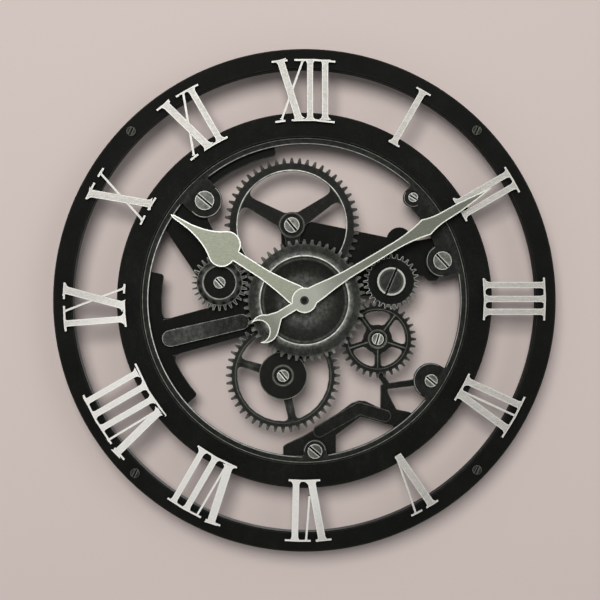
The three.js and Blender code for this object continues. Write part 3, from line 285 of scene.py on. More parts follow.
def cast_edge(name, base, rub, roughness, metallic, worn, specular, edge_at):
    """The rounded edges of the same casting, where the dark paint has rubbed through."""
    t = Tree(name)
    broad = t.noise(*EDGE_BROAD)
    streak = t.noise(*EDGE_STREAK)
    rubbed = t.times(t.ramp(streak, *EDGE_RUB_STREAKS), t.ramp(broad, *EDGE_RUB_BROAD))
    rubbed = t.times(rubbed, worn, clamp=True)
    if edge_at:
        rubbed = t.times(rubbed, t.radial_wear_and_light(*edge_at), clamp=True)
    colour = t.mix(rubbed, linear(base), linear(rub))
    # Corners pull the rubbed edge back to the dark paint as painted shade
    shade = t.times(t.corner_shade(EDGE_SHADE_REACH), EDGE_SHADE_SHARE, clamp=True)
    colour = t.mix(shade, colour, linear(base))
    metal = t.ramp(rubbed, 0, 1, metallic, RUBBED_EDGE_METAL)
    coarse = t.rough(rubbed, roughness, *EDGE_ROUGH)
    return t.surface(colour, metal, coarse, specular, streak, *EDGE_BUMP)


def worn_paint(
    name, base, rub, roughness=0.5, metallic=0.05, worn=0.6, fleck=0.04, beside=0.15,
    specular=0.12, stain_and_shade=0.6, wear_and_light_at=None, edge_at=None,
):
    """A dark casting: its faces, and its rubbed edges.

    The colours are the paint and the metal that shows through it: on the edges by worn, in
    specks by fleck, beside the edges by beside, and by radius in the last two arguments, which
    on some pieces also paint light and shade. Corners are darkened as painted shade.
    """
    return (
        cast_body(name, base, rub, roughness, metallic, fleck, beside, specular, stain_and_shade, wear_and_light_at),
        cast_edge(name + "_edge", base, rub, roughness, metallic, worn, specular, edge_at),
    )


def brushed(
    name, base, dark, bright, roughness, metallic, stain_and_shade=0.3, rim=0.0, mottled=0.0, grain=0.0,
    slotted=False, outlined=False, face_shine=None, edge_shine=None, specular=0.5,
):
    """Silver with fine brushing and some stains: its faces, and its edges with a painted
    highlight.

    The faces shine near their edges by rim, in a narrow line if outlined, and by radius in
    face_shine; all this shine is painted highlight. Stains are broad by the stain amount, small
    by mottled and fine by grain. A slotted piece has even brushing and a slot darkened as
    painted shade.
    """
    finishes = []
    for edge in (False, True):
        t = Tree(name + ("_edge" if edge else ""))
        lines = t.noise(*BRUSH_LINES, None if slotted else LONG_GRAIN)
        cloud = t.noise(*BRUSH_CLOUD)
        patch = t.noise(*BRUSH_PATCH)
        fine = t.noise(*BRUSH_FINE)
        body = t.mix(t.ramp(lines, *BRUSH_TONE), linear(dark), linear(base))
        stain = t.times(t.ramp(cloud, *STAIN_CLOUD), stain_and_shade, clamp=True)
        stain = t.math("MAXIMUM", stain, t.times(t.ramp(patch, *STAIN_PATCH), mottled))
        stain = t.math("MAXIMUM", stain, t.times(t.ramp(fine, *STAIN_FINE), grain))
        colour = t.mix(stain, body, linear(dark))
        if edge:
            shine = t.ramp(lines, *SHINE_LINES)
            if edge_shine:
                shine = t.times(shine, t.radial_wear_and_light(*edge_shine))
            colour = t.mix(shine, colour, linear(bright))
            if slotted:
                # The slot is darkened as painted shade
                colour = t.mix(t.corner_shade(*SLOT_SHADE_REACH), colour, linear(SLOT_CORNER_SHADE))
        elif rim:
            lip = t.times(t.edges(*(OUTLINE if outlined else BRUSH_RUB)), rim, clamp=True)
            colour = t.mix(lip, colour, linear(bright))
        if face_shine and not edge:
            colour = t.mix(t.radial_wear_and_light(*face_shine), colour, linear(bright))
        height = t.math("ADD", lines, t.times(fine, FINE_HEIGHT))
        metal = metallic * BRUSHED_EDGE_METAL if edge else metallic
        coarse = t.rough(lines, roughness, *BRUSH_ROUGH)
        finishes.append(t.surface(colour, metal, coarse, specular, height, *BRUSH_BUMP))
    return tuple(finishes)


def moulded(name, base, roughness, specular=0.4):
    """Plain moulded plastic with a fine spark-eroded skin, the same on its edges."""
    t = Tree(name)
    fine = t.noise(*MOULD_FINE)
    cloud = t.noise(*MOULD_CLOUD)
    dark = linear(base)
    colour = t.mix(cloud, dark, lighter(dark, *MOULD_LIGHTER))
    rubbed = t.times(t.edges(MOULD_RUB), MOULD_RUB_SHARE)
    colour = t.mix(rubbed, colour, lighter(dark, *MOULD_RUBBED))
    coarse = t.rough(fine, roughness, *MOULD_ROUGH)
    finish = t.surface(colour, 0.0, coarse, specular, fine, *MOULD_BUMP)
    return finish, finish


# Places on the clock's face, in millimetres right of and above its middle
CENTRE = (0, 0)
UPPER_GEAR = (-10, 60)
LOWER_GEAR = (-17, -60)
SPOKED_GEAR = (58.5, -31)
LEFT_GEAR = (-67.5, 14)
RIGHT_GEAR = (69, 15)
BAR_END = (-107, -27.5)
LOWER_LEFT = (-100, -120)
LEFT_SIDE = (-124, -20)

# Where each turned piece is rubbed bright: pairs of radius and amount
LEDGE_WEAR = [
    (0, 0.03), (122, 0.02), (124.6, 0.04), (126.5, 0.03), (129.4, 0.025), (130.3, 0.0),
    (150, 0.0),
]
LEDGE_EDGES = [(0, 0.7), (128, 0.7), (131, 0.2), (150, 0.15)]
MIDDLE_WEAR = [
    (0, 0.12), (12, 0.11), (18, 0.07), (24, 0.015), (31.5, 0.0), (33, 0.07), (34.2, 0.0),
    (35.5, 0.32), (37, 0.13), (39.5, 0.03), (43.5, 0.03), (45.5, 0.12), (48.4, 0.16),
]
UPPER_WEAR = [
    (0, 0.006), (42.5, 0.006), (43.4, 0.08), (45, 0.014), (49, 0.012), (51, 0.06), (54, 0.1),
]
# The lower gear's arms, between radii 21 and 35, also carry a painted highlight
LOWER_WEAR_AND_HIGHLIGHT = [
    (0, 0.02), (21, 0.01), (25.5, 0.045), (31, 0.02), (35, 0.005), (36.4, 0.02),
    (38.4, 0.03), (39.6, 0.008), (41.2, 0.012), (43, 0.07), (46, 0.13),
]
SPOKED_WEAR = [(0, 0.005), (22.8, 0.003), (23.8, 0.02), (25, 0.006), (27, 0.014), (31, 0.1)]
LEFT_WEAR = [
    (0, 0.0), (12.8, 0.0), (13.4, 0.08), (14.6, 0.05), (16.6, 0.03), (17.6, 0.1), (19, 0.05),
    (22.5, 0.15),
]
RIGHT_WEAR = [(0, 0.0), (17.6, 0.0), (18.6, 0.04), (22.2, 0.12)]
# The bar is rubbed at its left end, and dark towards the middle gear as painted shade under the
# gear
BAR_WEAR_AND_SHADE = [(0, 0.03), (10, 0.055), (24, 0.045), (34, 0.02), (48, 0.003), (70, 0.0)]
BAR_EDGE_WEAR_AND_SHADE = [(0, 1.0), (22, 0.9), (45, 0.4), (58, 0.1), (70, 0.05)]
# The big screw is bright on the outer part of its rim and along its slot
BIG_FACE_SHINE = [(0, 0.0), (9.6, 0.0), (10.0, 0.85), (12, 0.85)]
BIG_EDGE_SHINE = [(0, 0.9), (8.1, 0.9), (8.4, 0.1), (9.7, 0.1), (10.1, 1.0), (12, 1.0)]
# Painted highlights: the numerals are brighter towards the lower left, and the minute hand
# towards its hub
NUMERAL_SHINE = [
    (0, 0.5), (112, 0.5), (140, 0.12), (200, 0.02), (250, 0.06), (300, 0.0), (330, 0.0),
]
HUB_SHINE = [(0, 0.22), (11, 0.22), (30, 0.07), (60, 0.0), (180, 0.0)]
# The trim of the ledge is painted brighter towards the clock's left side, a painted highlight
# where it catches more light
TRIM_PAINTED_LIGHT = [(0, 1.0), (60, 0.75), (130, 0.4), (200, 0.42), (300, 0.36)]

# Colours that several finishes share: the black paint, and metals that show through it
SATIN_BLACK = "070806"
DULL_RUB = "a4a69b"
GREY_RUB = "b4b6aa"
PALE_RUB = "dfe1d6"

BLACK = worn_paint(
    "black_satin", SATIN_BLACK, "8a8c82", roughness=0.6, worn=0.16, fleck=0.02, specular=0.06
)
LEDGE = worn_paint(
    "ledge_black", SATIN_BLACK, GREY_RUB, roughness=0.6, worn=0.9, fleck=0.02, specular=0.06,
    wear_and_light_at=(CENTRE, LEDGE_WEAR), edge_at=(CENTRE, LEDGE_EDGES),
)
PLATE = worn_paint(
    "skeleton_black", SATIN_BLACK, DULL_RUB, roughness=0.6, worn=0.7, fleck=0.02, specular=0.06
)
BRIDGE = worn_paint(
    "bridge_black", "0b0c09", "d6d8cd", roughness=0.55, worn=1.0, fleck=0.03, beside=0.3,
    specular=0.07,
)
UPPER = worn_paint(
    "upper_gunmetal", "090a07", PALE_RUB, roughness=0.55, worn=0.85, fleck=0.03, specular=0.07,
    wear_and_light_at=(UPPER_GEAR, UPPER_WEAR),
)
LOWER = worn_paint(
    "lower_gunmetal", "0b0d09", PALE_RUB, roughness=0.52, worn=0.9, fleck=0.04, specular=0.08,
    wear_and_light_at=(LOWER_GEAR, LOWER_WEAR_AND_HIGHLIGHT),
)
SPOKED = worn_paint(
    "spoked_gunmetal", "080906", PALE_RUB, roughness=0.55, worn=0.9, fleck=0.02, specular=0.06,
    wear_and_light_at=(SPOKED_GEAR, SPOKED_WEAR),
)
MIDDLE_GUNMETAL = worn_paint(
    "middle_gunmetal", "0d0f0a", PALE_RUB, roughness=0.58, worn=1.0, fleck=0.03, specular=0.07,
    wear_and_light_at=(CENTRE, MIDDLE_WEAR),
)
LEFT = worn_paint(
    "left_gunmetal", SATIN_BLACK, PALE_RUB, roughness=0.55, worn=0.9, fleck=0.01, specular=0.06,
    wear_and_light_at=(LEFT_GEAR, LEFT_WEAR),
)
RIGHT = worn_paint(
    "right_gunmetal", "060705", PALE_RUB, roughness=0.55, worn=0.9, fleck=0.01, specular=0.06,
    wear_and_light_at=(RIGHT_GEAR, RIGHT_WEAR),
)
DARK = worn_paint(
    "dark_iron", "0a0b08", DULL_RUB, roughness=0.55, worn=0.4, fleck=0.02, beside=0.1,
    specular=0.08,
)
BAR = worn_paint(
    "bar_metal", "0c0e0a", "eef0e6", metallic=0.1, worn=1.0, fleck=0.06, beside=0.7,
    specular=0.08, stain_and_shade=0.4, wear_and_light_at=(BAR_END, BAR_WEAR_AND_SHADE), edge_at=(BAR_END, BAR_EDGE_WEAR_AND_SHADE),
)
TRIM = worn_paint("trim_metal", "161712", GREY_RUB, worn=0.55, fleck=0.3)
LIP = worn_paint("lip_metal", "24261f", "e6e8dd", worn=1.0, fleck=0.6)
LEDGE_LIP = worn_paint(
    "ledge_lip_metal", "1e1f1a", "f0f1ea", worn=1.0, fleck=0.6, edge_at=(LEFT_SIDE, TRIM_PAINTED_LIGHT)
)
# Painted shade for the walls and floor of screw slots
SLOT_SHADE = worn_paint("slot_shade", CORNER_SHADE, "1a1b17", worn=0.2, fleck=0.0, specular=0.05)
NUMERAL = brushed(
    "numeral_silver", "c1beb7", "918f87", "f0eee8", roughness=0.45, metallic=0.2, rim=0.6,
    grain=0.8, face_shine=(LOWER_LEFT, NUMERAL_SHINE),
)
HOUR_HAND = brushed(
    "hour_hand_silver", "868975", "6c6e5e", "f8f9f1", roughness=0.42, metallic=0.25, stain_and_shade=0.2,
    rim=1.0, grain=0.5, outlined=True,
)
MINUTE_HAND = brushed(
    "minute_hand_silver", "5a5c50", "434539", "eaecde", roughness=0.42, metallic=0.25, rim=1.0,
    grain=0.5, outlined=True, face_shine=(CENTRE, HUB_SHINE),
)
SCREW = brushed(
    "screw_silver", "64665c", "191a15", "e0e2d8", roughness=0.42, metallic=0.25, stain_and_shade=0.5,
    rim=0.6, mottled=0.9, slotted=True,
)
SMALL_SCREW = brushed(
    "small_screw_silver", "8e9086", "32332c", "eceee4", roughness=0.42, metallic=0.25, rim=0.5,
    mottled=0.6, slotted=True,
)
BIG_SCREW = brushed(
    "big_screw_iron", "2b2d26", "10110d", "bcbeb4", roughness=0.45, metallic=0.1, stain_and_shade=0.6,
    rim=0.2, mottled=0.8, slotted=True, face_shine=(RIGHT_GEAR, BIG_FACE_SHINE),
    edge_shine=(RIGHT_GEAR, BIG_EDGE_SHINE), specular=0.15,
)
RING_SCREW = brushed(
    "ring_screw_iron", "22231d", "0e0f0c", "6e7067", roughness=0.5, metallic=0.1, stain_and_shade=0.4,
    rim=0.3, mottled=0.5, slotted=True, specular=0.15,
)
STEEL = brushed(
    "zinc_steel", "a4a7a8", "83878a", "c9cccd", roughness=0.36, metallic=0.85, stain_and_shade=0.2
)
BRASS = brushed("turned_brass", "b8954f", "8a6c34", "d9bd7c", roughness=0.34, metallic=0.85)
CASE = moulded("case_plastic", "17181a", roughness=0.55)
CELL = moulded("cell_jacket", "5f676d", roughness=0.42, specular=0.5)


# CAD nodes: each one's finishes, and how far its edges are rounded, in millimetres

LOOKS = {
    "hour_ring": (BLACK, 0.6),
    "inner_ring": (LEDGE, 0.6),
    "skeleton_plate": (PLATE, 0.55),
    "lower_bridge": (BRIDGE, 0.5),
    "left_bar": (BAR, 0.8),
    "upper_gear": (UPPER, 0.42),
    "lower_gear": (LOWER, 0.42),
    "spoked_gear": (SPOKED, 0.42),
    "middle_gear": (MIDDLE_GUNMETAL, 0.45),
    "left_gear": (LEFT, 0.35),
    "right_gear": (RIGHT, 0.4),
    "lower_disc": (DARK, 0.25),
    "movement_case": (CASE, 0.4),
    "setting_knob": (CASE, 0.3),
    "battery": (CELL, 0.3),
    "battery_contact_1": (STEEL, 0.1),
    "battery_contact_2": (STEEL, 0.1),
    "hanger_plate": (STEEL, 0.15),
    "hanger_screw_1": (STEEL, 0.15),
    "hanger_screw_2": (STEEL, 0.15),
    "washer": (BRASS, 0.1),
    "bush_nut": (BRASS, 0.2),
    "hour_tube": (BRASS, 0.1),
    "minute_arbor": (STEEL, 0.15),
    "minute_nut": (DARK, 0.3),
    "hour_hand": (HOUR_HAND, 0.55),
    "minute_hand": (MINUTE_HAND, 0.55),
    "right_gear_screw": (BIG_SCREW, 0.3),
    "spoked_gear_screw": (SMALL_SCREW, 0.3),
    "lower_gear_screw": (SMALL_SCREW, 0.3),
}
# A numeral is silver in front, and black on its edges, sides and back
NUMERAL_LOOK = ((NUMERAL[0], BLACK[1]), 0.2)
RING_SCREW_LOOK = (RING_SCREW, 0.25)
SCREW_LOOK = (SCREW, 0.3)
# The places of the finishes among a node's materials
EDGE_INDEX = 1
SLOT_SHADE_INDEX = 2


def look_of(name):
    """A node's finishes, and how far its edges are rounded."""
    if name in LOOKS:
        return LOOKS[name]
    if name.startswith("numeral_"):
        return NUMERAL_LOOK
    if name.startswith("ring_screw"):
        return RING_SCREW_LOOK
    return SCREW_LOOK


# A screw's slot: its depth, the slack in measuring it, and its greatest share of the head
SLOT_DEPTH = 1.4
NEAR = 0.12
SLOT_SHARE = 0.8
# How squarely a face looks along the clock's axis, from 0 to 1
FLAT = 0.9
UPRIGHT = 0.2


def mark_slot(node):
    """Gives the walls and floor of a screw's slot their own dark finish, which paints the shade
    in the slot.
    """
    mesh = node.data
    place = node.matrix_world
    spots = [place @ vertex.co / MM for vertex in mesh.vertices]
    front = -min(spot.y for spot in spots)
    seen = [spot for spot in spots if -spot.y > front - SLOT_DEPTH - NEAR]
    across = (min(spot.x for spot in seen) + max(spot.x for spot in seen)) / 2
    up = (min(spot.z for spot in seen) + max(spot.z for spot in seen)) / 2
    reach = max(math.hypot(spot.x - across, spot.z - up) for spot in seen)
    for face in mesh.polygons:
        middle = sum((spots[index] for index in face.vertices), Vector()) / len(face.vertices)
        depth = front + middle.y
        facing = abs((place.to_3x3() @ face.normal).normalized().y)
        out = math.hypot(middle.x - across, middle.z - up)
        floor = facing > FLAT and abs(depth - SLOT_DEPTH) < NEAR
        wall = facing < UPRIGHT and NEAR < depth < SLOT_DEPTH and out < SLOT_SHARE * reach
        if floor or wall:
            face.material_index = SLOT_SHADE_INDEX


def mark_sides(node):
    """Gives all but the front of a numeral the second finish."""
    turned = node.matrix_world.to_3x3()
    for face in node.data.polygons:
        if (turned @ face.normal).normalized().y > -FLAT:
            face.material_index = EDGE_INDEX


# Corners this close are welded, and edges that bend more than this are rounded
WELD_REACH = 0.002 * MM
ROUND_FROM = math.radians(34)
ROUND_SEGMENTS = 2


def dress(node, finishes, width):
    """Gives a CAD node its finishes and softly rounded edges, without changing its shape."""
    mesh = node.data
    if "custom_normal" in mesh.attributes:
        mesh.attributes.remove(mesh.attributes["custom_normal"])
    for face in mesh.polygons:
        face.use_smooth = True
    mesh.materials.clear()
    for finish in finishes:
        mesh.materials.append(finish)
    if node.name.endswith("screw") or node.name.startswith("ring_screw"):
        # The slot's faces get the painted shade finish
        mesh.materials.append(SLOT_SHADE[0])
        mark_slot(node)
    elif node.name.startswith("numeral_"):
        mark_sides(node)
    weld = node.modifiers.new("weld", "WELD")
    weld.merge_threshold = WELD_REACH
    bevel = node.modifiers.new("round", "BEVEL")
    bevel.width = width * MM
    bevel.segments = ROUND_SEGMENTS
    bevel.limit_method = "ANGLE"
    bevel.angle_limit = ROUND_FROM
    bevel.harden_normals = True
    bevel.material = EDGE_INDEX


# The two rings are drawn with this many facets, and each is split this many times
RING_STEPS = 64
RING_SPLITS = 2


def true_circle():
    """A modifier tree that bends a ring's flat facets out to the circle of their corners."""
    tree = bpy.data.node_groups.new("true_circle", "GeometryNodeTree")
    for way in ("INPUT", "OUTPUT"):
        tree.interface.new_socket("Geometry", in_out=way, socket_type="NodeSocketGeometry")
    source = tree.nodes.new("NodeGroupInput")
    result = tree.nodes.new("NodeGroupOutput")
    finer = tree.nodes.new("GeometryNodeSubdivideMesh")
    finer.inputs["Level"].default_value = RING_SPLITS
    place = tree.nodes.new("GeometryNodeSetPosition")
    spot = tree.nodes.new("GeometryNodeInputPosition").outputs[0]
    parts = tree.nodes.new("ShaderNodeSeparateXYZ")
    tree.links.new(spot, parts.inputs[0])

    def reckon(operation, first, second=0.0):
        node = tree.nodes.new("ShaderNodeMath")
        node.operation = operation
        for socket, value in zip(node.inputs, (first, second)):
            if isinstance(value, bpy.types.NodeSocket):
                tree.links.new(value, socket)
            else:
                socket.default_value = value
        return node.outputs[0]

    facet = 2 * math.pi / RING_STEPS
    up = reckon("SUBTRACT", parts.outputs["Z"], MIDDLE.z)
    turn = reckon("ADD", reckon("ARCTAN2", parts.outputs["X"], up), 2 * math.pi)
    from_middle = reckon("SUBTRACT", reckon("MODULO", turn, facet), facet / 2)
    grow = reckon("DIVIDE", reckon("COSINE", from_middle), math.cos(facet / 2))
    across = reckon("MULTIPLY", parts.outputs["X"], grow)
    height = reckon("ADD", reckon("MULTIPLY", up, grow), MIDDLE.z)
    whole = tree.nodes.new("ShaderNodeCombineXYZ")
    for socket, value in zip(whole.inputs, (across, parts.outputs["Y"], height)):
        tree.links.new(value, socket)
    tree.links.new(source.outputs[0], finer.inputs["Mesh"])
    tree.links.new(finer.outputs[0], place.inputs["Geometry"])
    tree.links.new(whole.outputs[0], place.inputs["Position"])
    tree.links.new(place.outputs[0], result.inputs[0])
    return tree


for name, node in nodes.items():
    dress(node, *look_of(name))
round_out = true_circle()
for name in ("hour_ring", "inner_ring"):
    nodes[name].modifiers.new("circle", "NODES").node_group = round_out


# Trim: thin beads and ribs that lie on the solids. Sizes are in millimetres

FULL_TURN = 360
# A bead has a step for every so many degrees, but no fewer than this
STEP_ANGLE = 2.8
FEWEST_STEPS = 8
# How many steps the round top of a section has
ARC_STEPS = 6
# How deep trim sinks into what it lies on
SINK = 0.02


def on_face(across, up, height):
    """A place on the clock's face, with its distance from the wall, in the scene's metres."""
    return across * MM, -height * MM, MIDDLE.z + up * MM


def loft(name, sections, closed, finish):
    """Makes a piece of trim through its sections, riding on the frame, and returns its mesh."""
    mesh = bmesh.new()
    loops = [[mesh.verts.new(spot) for spot in section] for section in sections]
    for here, there in zip(loops, loops[1:] + loops[:1] if closed else loops[1:]):
        for corner in range(len(here)):
            after = (corner + 1) % len(here)
            mesh.faces.new((here[corner], here[after], there[after], there[corner]))
    if not closed:
        mesh.faces.new(loops[0])
        mesh.faces.new(loops[-1])
    bmesh.ops.recalc_face_normals(mesh, faces=mesh.faces[:])
    data = bpy.data.meshes.new(name)
    mesh.to_mesh(data)
    mesh.free()
    data.materials.append(finish)
    piece = bpy.data.objects.new(name, data)
    bpy.context.scene.collection.objects.link(piece)
    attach(piece, "frame")
    return data


def rounded(middle, width, seat, height):
    """A section, flat below and round above, on a front: pairs of place and height."""
    turns = [math.pi * step / ARC_STEPS for step in range(ARC_STEPS + 1)]
    return [
        (middle + width / 2 * math.cos(turn), seat - SINK + height * math.sin(turn))
        for turn in turns
    ]


def bead(name, centre, section, finish, start=0, end=FULL_TURN):
    """A thin turned bead round a place, or a stretch of one, from its radii and heights."""
    closed = end - start >= FULL_TURN
    steps = max(FEWEST_STEPS, round((end - start) / STEP_ANGLE))
    sections = []
    for step in range(steps if closed else steps + 1):
        turn = math.radians(start + (end - start) * step / steps)
        sections.append([
            on_face(
                centre[0] + radius * math.cos(turn), centre[1] + radius * math.sin(turn), height
            )
            for radius, height in section
        ])
    mesh = loft(name, sections, closed, finish)
    for face in mesh.polygons:
        face.use_smooth = True


def rib(name, centre, angle, reaches, section, finish):
    """A thin straight rib along a spoke, between two distances from the gear's middle."""
    along = Vector((math.cos(math.radians(angle)), math.sin(math.radians(angle))))
    aside = Vector((-along.y, along.x))
    sections = []
    for reach in reaches:
        spots = [(Vector(centre) + along * reach + aside * out, rise) for out, rise in section]
        sections.append([on_face(spot.x, spot.y, rise) for spot, rise in spots])
    loft(name, sections, False, finish)


# How far each front that carries trim stands from the wall
LOW_FRONT = 24
LEDGE_FRONT = 25
HUB_FRONT = 25.2
DISC_FRONT = 26.5
SIDE_FRONT = 27.5
COLLAR_FRONT = 27.7
STEP_FRONT = 28.7
MIDDLE_FRONT = 33

# Full rings of trim: name, place, radius, width, the front they lie on, height, finish
for name, place, radius, width, seat, height, finish in (
    ("upper_gear_lip", UPPER_GEAR, 43.85, 0.9, LOW_FRONT, 0.45, LIP),
    ("upper_gear_hub_line", UPPER_GEAR, 9.7, 0.5, HUB_FRONT, 0.3, TRIM),
    ("lower_gear_lip", LOWER_GEAR, 38.2, 0.7, LOW_FRONT, 0.4, DARK),
    ("lower_disc_line", LOWER_GEAR, 18.8, 0.5, DISC_FRONT, 0.25, TRIM),
    ("lower_collar_line", LOWER_GEAR, 7.9, 0.5, COLLAR_FRONT, 0.2, TRIM),
    ("spoked_gear_lip", SPOKED_GEAR, 23.9, 0.6, LOW_FRONT, 0.35, DARK),
    ("spoked_collar_line", SPOKED_GEAR, 7.1, 0.5, HUB_FRONT, 0.25, TRIM),
    ("middle_gear_lip", CENTRE, 35.3, 1.1, MIDDLE_FRONT, 0.5, LIP),
    ("left_gear_rim", LEFT_GEAR, 13.5, 0.55, STEP_FRONT, 0.3, TRIM),
    ("left_gear_step", LEFT_GEAR, 18.0, 0.4, SIDE_FRONT, 0.3, TRIM),
):
    bead(name, place, rounded(radius, width, seat, height), finish[1])

# The ledge has a thin line on it, and a bright line on its inner edge from lug to lug
LEDGE_LINE = rounded(middle=129.2, width=0.7, seat=LEDGE_FRONT, height=0.3)
LEDGE_EDGE_LINE = rounded(middle=125.0, width=0.85, seat=LEDGE_FRONT, height=0.35)
LEDGE_STRETCHES = [(47.5, 127.6), (142.4, 269.2), (278.8, 320.6), (334.8, 369.6)]
bead("ledge_line", CENTRE, LEDGE_LINE, TRIM[1])
for number, (start, end) in enumerate(LEDGE_STRETCHES, 1):
    name = f"ledge_lip_{number}"
    bead(name, CENTRE, LEDGE_EDGE_LINE, LEDGE_LIP[1], start, end)

# A thin line follows each lug: the lug's angle, how far in from the ledge's edge it lies, its
# radius, and half the angle that the line covers
LEDGE_INNER = 124.5
LUG_MARGIN = 0.9
LUG_ARCS = [
    (135, 12.1, 14, 96), (43.4, 5.2, 8, 78), (16, 10.1, 13, 78), (-32.4, 4.9, 14.2, 84),
    (-86, 3.9, 9.2, 90),
]
for number, (angle, inset, radius, half) in enumerate(LUG_ARCS, 1):
    name = f"lug_line_{number}"
    turn = math.radians(angle)
    out = LEDGE_INNER - inset
    place = (out * math.cos(turn), out * math.sin(turn))
    section = rounded(middle=radius - LUG_MARGIN, width=0.55, seat=LEDGE_FRONT, height=0.25)
    inwards = angle + FULL_TURN / 2
    bead(name, place, section, LEDGE_LIP[1], inwards - half, inwards + half)

# The spokes have a thin ridge each, and the lower gear's two arms that show are half round
SPOKE_ANGLES = (54, 126, 198, 270, 342)
SPOKE_REACHES = (8.4, 23.4)
SPOKE_RIDGE = rounded(middle=0, width=1.1, seat=LOW_FRONT, height=0.5)
ARM_ANGLES = (163, 282)
ARM_REACHES = (19.2, 37.9)
ARM_ROUND = rounded(middle=0, width=4.2, seat=LOW_FRONT, height=1.3)
for number, angle in enumerate(SPOKE_ANGLES, 1):
    rib(f"spoke_ridge_{number}", SPOKED_GEAR, angle, SPOKE_REACHES, SPOKE_RIDGE, DARK[1])
for number, angle in enumerate(ARM_ANGLES, 1):
    rib(f"lower_arm_{number}", LOWER_GEAR, angle, ARM_REACHES, ARM_ROUND, LOWER[0])


# Stage: a plain pale wall behind the clock and a pale floor, both seen from one side only

# The rays that see the stage and the background
SEEN_BY = ("Is Camera Ray", "Is Glossy Ray", "Is Transmission Ray")
WALL_PAINT = "d2c3bd"
FLOOR_PAINT = "ddd5d1"
# The share of the floor's brightness that doesn't depend on the lamps
FLOOR_GLOW = 0.75
# The wall lies just behind the clock, and the floor well below it
WALL_BACK = 0.0004
FLOOR = -1.7
SPAN = 6


def stage_paint(name, colour, glow):
    """Matt paint, partly evenly bright, that only some rays see, and only from the front."""
    t = Tree(name)
    path = t.add("ShaderNodeLightPath").outputs
    seen = path[SEEN_BY[0]]
    for kind in SEEN_BY[1:]:
        seen = t.math("MAXIMUM", seen, path[kind])
    sides = t.add("ShaderNodeNewGeometry")
    front = t.math("SUBTRACT", 1.0, sides.outputs["Backfacing"])
    matt = t.add("ShaderNodeBsdfDiffuse", Color=linear(colour))
    even = t.add("ShaderNodeEmission", Color=linear(colour))
    paint = t.add("ShaderNodeMixShader")
    t.put(paint, 0, glow)
    t.put(paint, 1, matt.outputs[0])
    t.put(paint, 2, even.outputs[0])
    clear = t.add("ShaderNodeBsdfTransparent")
    both = t.add("ShaderNodeMixShader")
    t.put(both, 0, t.times(seen, front))
    t.put(both, 1, clear.outputs[0])
    t.put(both, 2, paint.outputs[0])
    return t.finish(both.outputs[0])


def sheet(name, corners, colour, glow):
    """A flat part of the stage."""
    mesh = bpy.data.meshes.new(name)
    mesh.from_pydata(corners, [], [(0, 1, 2, 3)])
    mesh.materials.append(stage_paint(name + "_paint", colour, glow))
    piece = bpy.data.objects.new(name, mesh)
    bpy.context.scene.collection.objects.link(piece)


WALL_CORNERS = [
    (-SPAN, WALL_BACK, FLOOR), (SPAN, WALL_BACK, FLOOR), (SPAN, WALL_BACK, SPAN),
    (-SPAN, WALL_BACK, SPAN),
]
FLOOR_CORNERS = [
    (-SPAN, -SPAN, FLOOR), (SPAN, -SPAN, FLOOR), (SPAN, WALL_BACK, FLOOR),
    (-SPAN, WALL_BACK, FLOOR),
]
sheet("wall", WALL_CORNERS, WALL_PAINT, glow=0.0)
sheet("floor", FLOOR_CORNERS, FLOOR_PAINT, glow=FLOOR_GLOW)


# World light, with a pale background, and lamps

SKY_LIGHT = (0.92, 0.96, 1, 1)
SKY_STRENGTH = 0.24
BACKGROUND = "e6e2df"
# Name, place, width and power of each lamp
LAMPS = (
    ("key", (-0.32, -2.1, 0.56), 1.15, 36),
    ("fill", (1.6, -2.0, 0.2), 1.6, 8),
    ("back", (0.6, 2.2, 0.8), 1.4, 42),
)


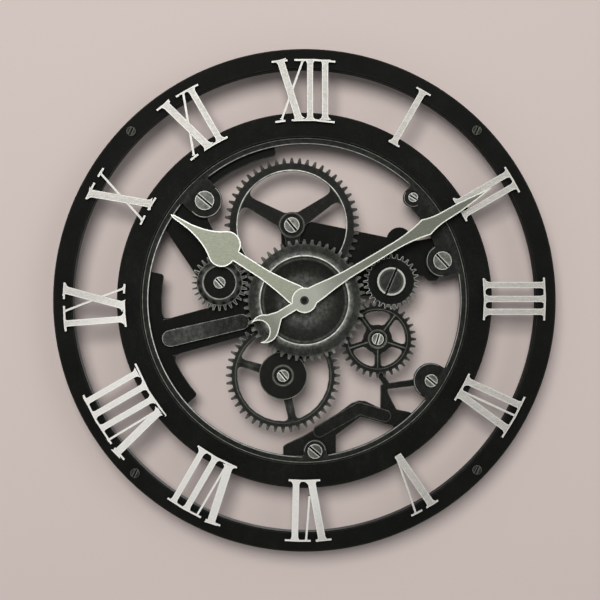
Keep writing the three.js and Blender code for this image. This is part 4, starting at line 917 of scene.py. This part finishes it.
def make_world():
    """A soft cool light from all around, where the rays in SEEN_BY see a pale background."""
    world = bpy.data.worlds.new("studio")
    bpy.context.scene.world = world
    world.use_nodes = True
    tree = world.node_tree
    tree.nodes.clear()
    output = tree.nodes.new("ShaderNodeOutputWorld")
    light = tree.nodes.new("ShaderNodeBackground")
    light.inputs["Color"].default_value = SKY_LIGHT
    light.inputs["Strength"].default_value = SKY_STRENGTH
    shown = tree.nodes.new("ShaderNodeBackground")
    shown.inputs["Color"].default_value = linear(BACKGROUND)
    path = tree.nodes.new("ShaderNodeLightPath").outputs
    seen = path[SEEN_BY[0]]
    for kind in SEEN_BY[1:]:
        either = tree.nodes.new("ShaderNodeMath")
        either.operation = "MAXIMUM"
        tree.links.new(seen, either.inputs[0])
        tree.links.new(path[kind], either.inputs[1])
        seen = either.outputs[0]
    both = tree.nodes.new("ShaderNodeMixShader")
    tree.links.new(seen, both.inputs[0])
    tree.links.new(light.outputs[0], both.inputs[1])
    tree.links.new(shown.outputs[0], both.inputs[2])
    tree.links.new(both.outputs[0], output.inputs["Surface"])


def lamp(name, place, size, power):
    """A round soft lamp that is aimed at the clock's middle."""
    data = bpy.data.lights.new(name, "AREA")
    data.shape = "DISK"
    data.size = size
    data.energy = power
    piece = bpy.data.objects.new(name, data)
    bpy.context.scene.collection.objects.link(piece)
    piece.location = place
    piece.rotation_mode = "QUATERNION"
    piece.rotation_quaternion = (MIDDLE - Vector(place)).to_track_quat("-Z", "Y")


make_world()
for row in LAMPS:
    lamp(*row)


# Camera, square to the clock's face as in the photograph

# The photograph's width in pixels, a pixel's size on the clock's face, and where the clock's
# middle lies right of and below the photograph's
PICTURE = 600
PIXEL = 0.795 * MM
MIDDLE_RIGHT = 4.4
MIDDLE_BELOW = 0.3
# How far the face stands from the wall, and the camera from the face
FACE = 0.028
DISTANCE = 0.95
SENSOR = 36

camera_data = bpy.data.cameras.new("camera")
camera_data.sensor_width = SENSOR
camera_data.lens = SENSOR * DISTANCE / (PICTURE * PIXEL)
camera = bpy.data.objects.new("camera", camera_data)
bpy.context.scene.collection.objects.link(camera)
camera.location = (
    MIDDLE.x - MIDDLE_RIGHT * PIXEL, -FACE - DISTANCE, MIDDLE.z + MIDDLE_BELOW * PIXEL
)
camera.rotation_euler = (math.pi / 2, 0, 0)
bpy.context.scene.camera = camera

bpy.context.scene.view_settings.view_transform = "Standard"
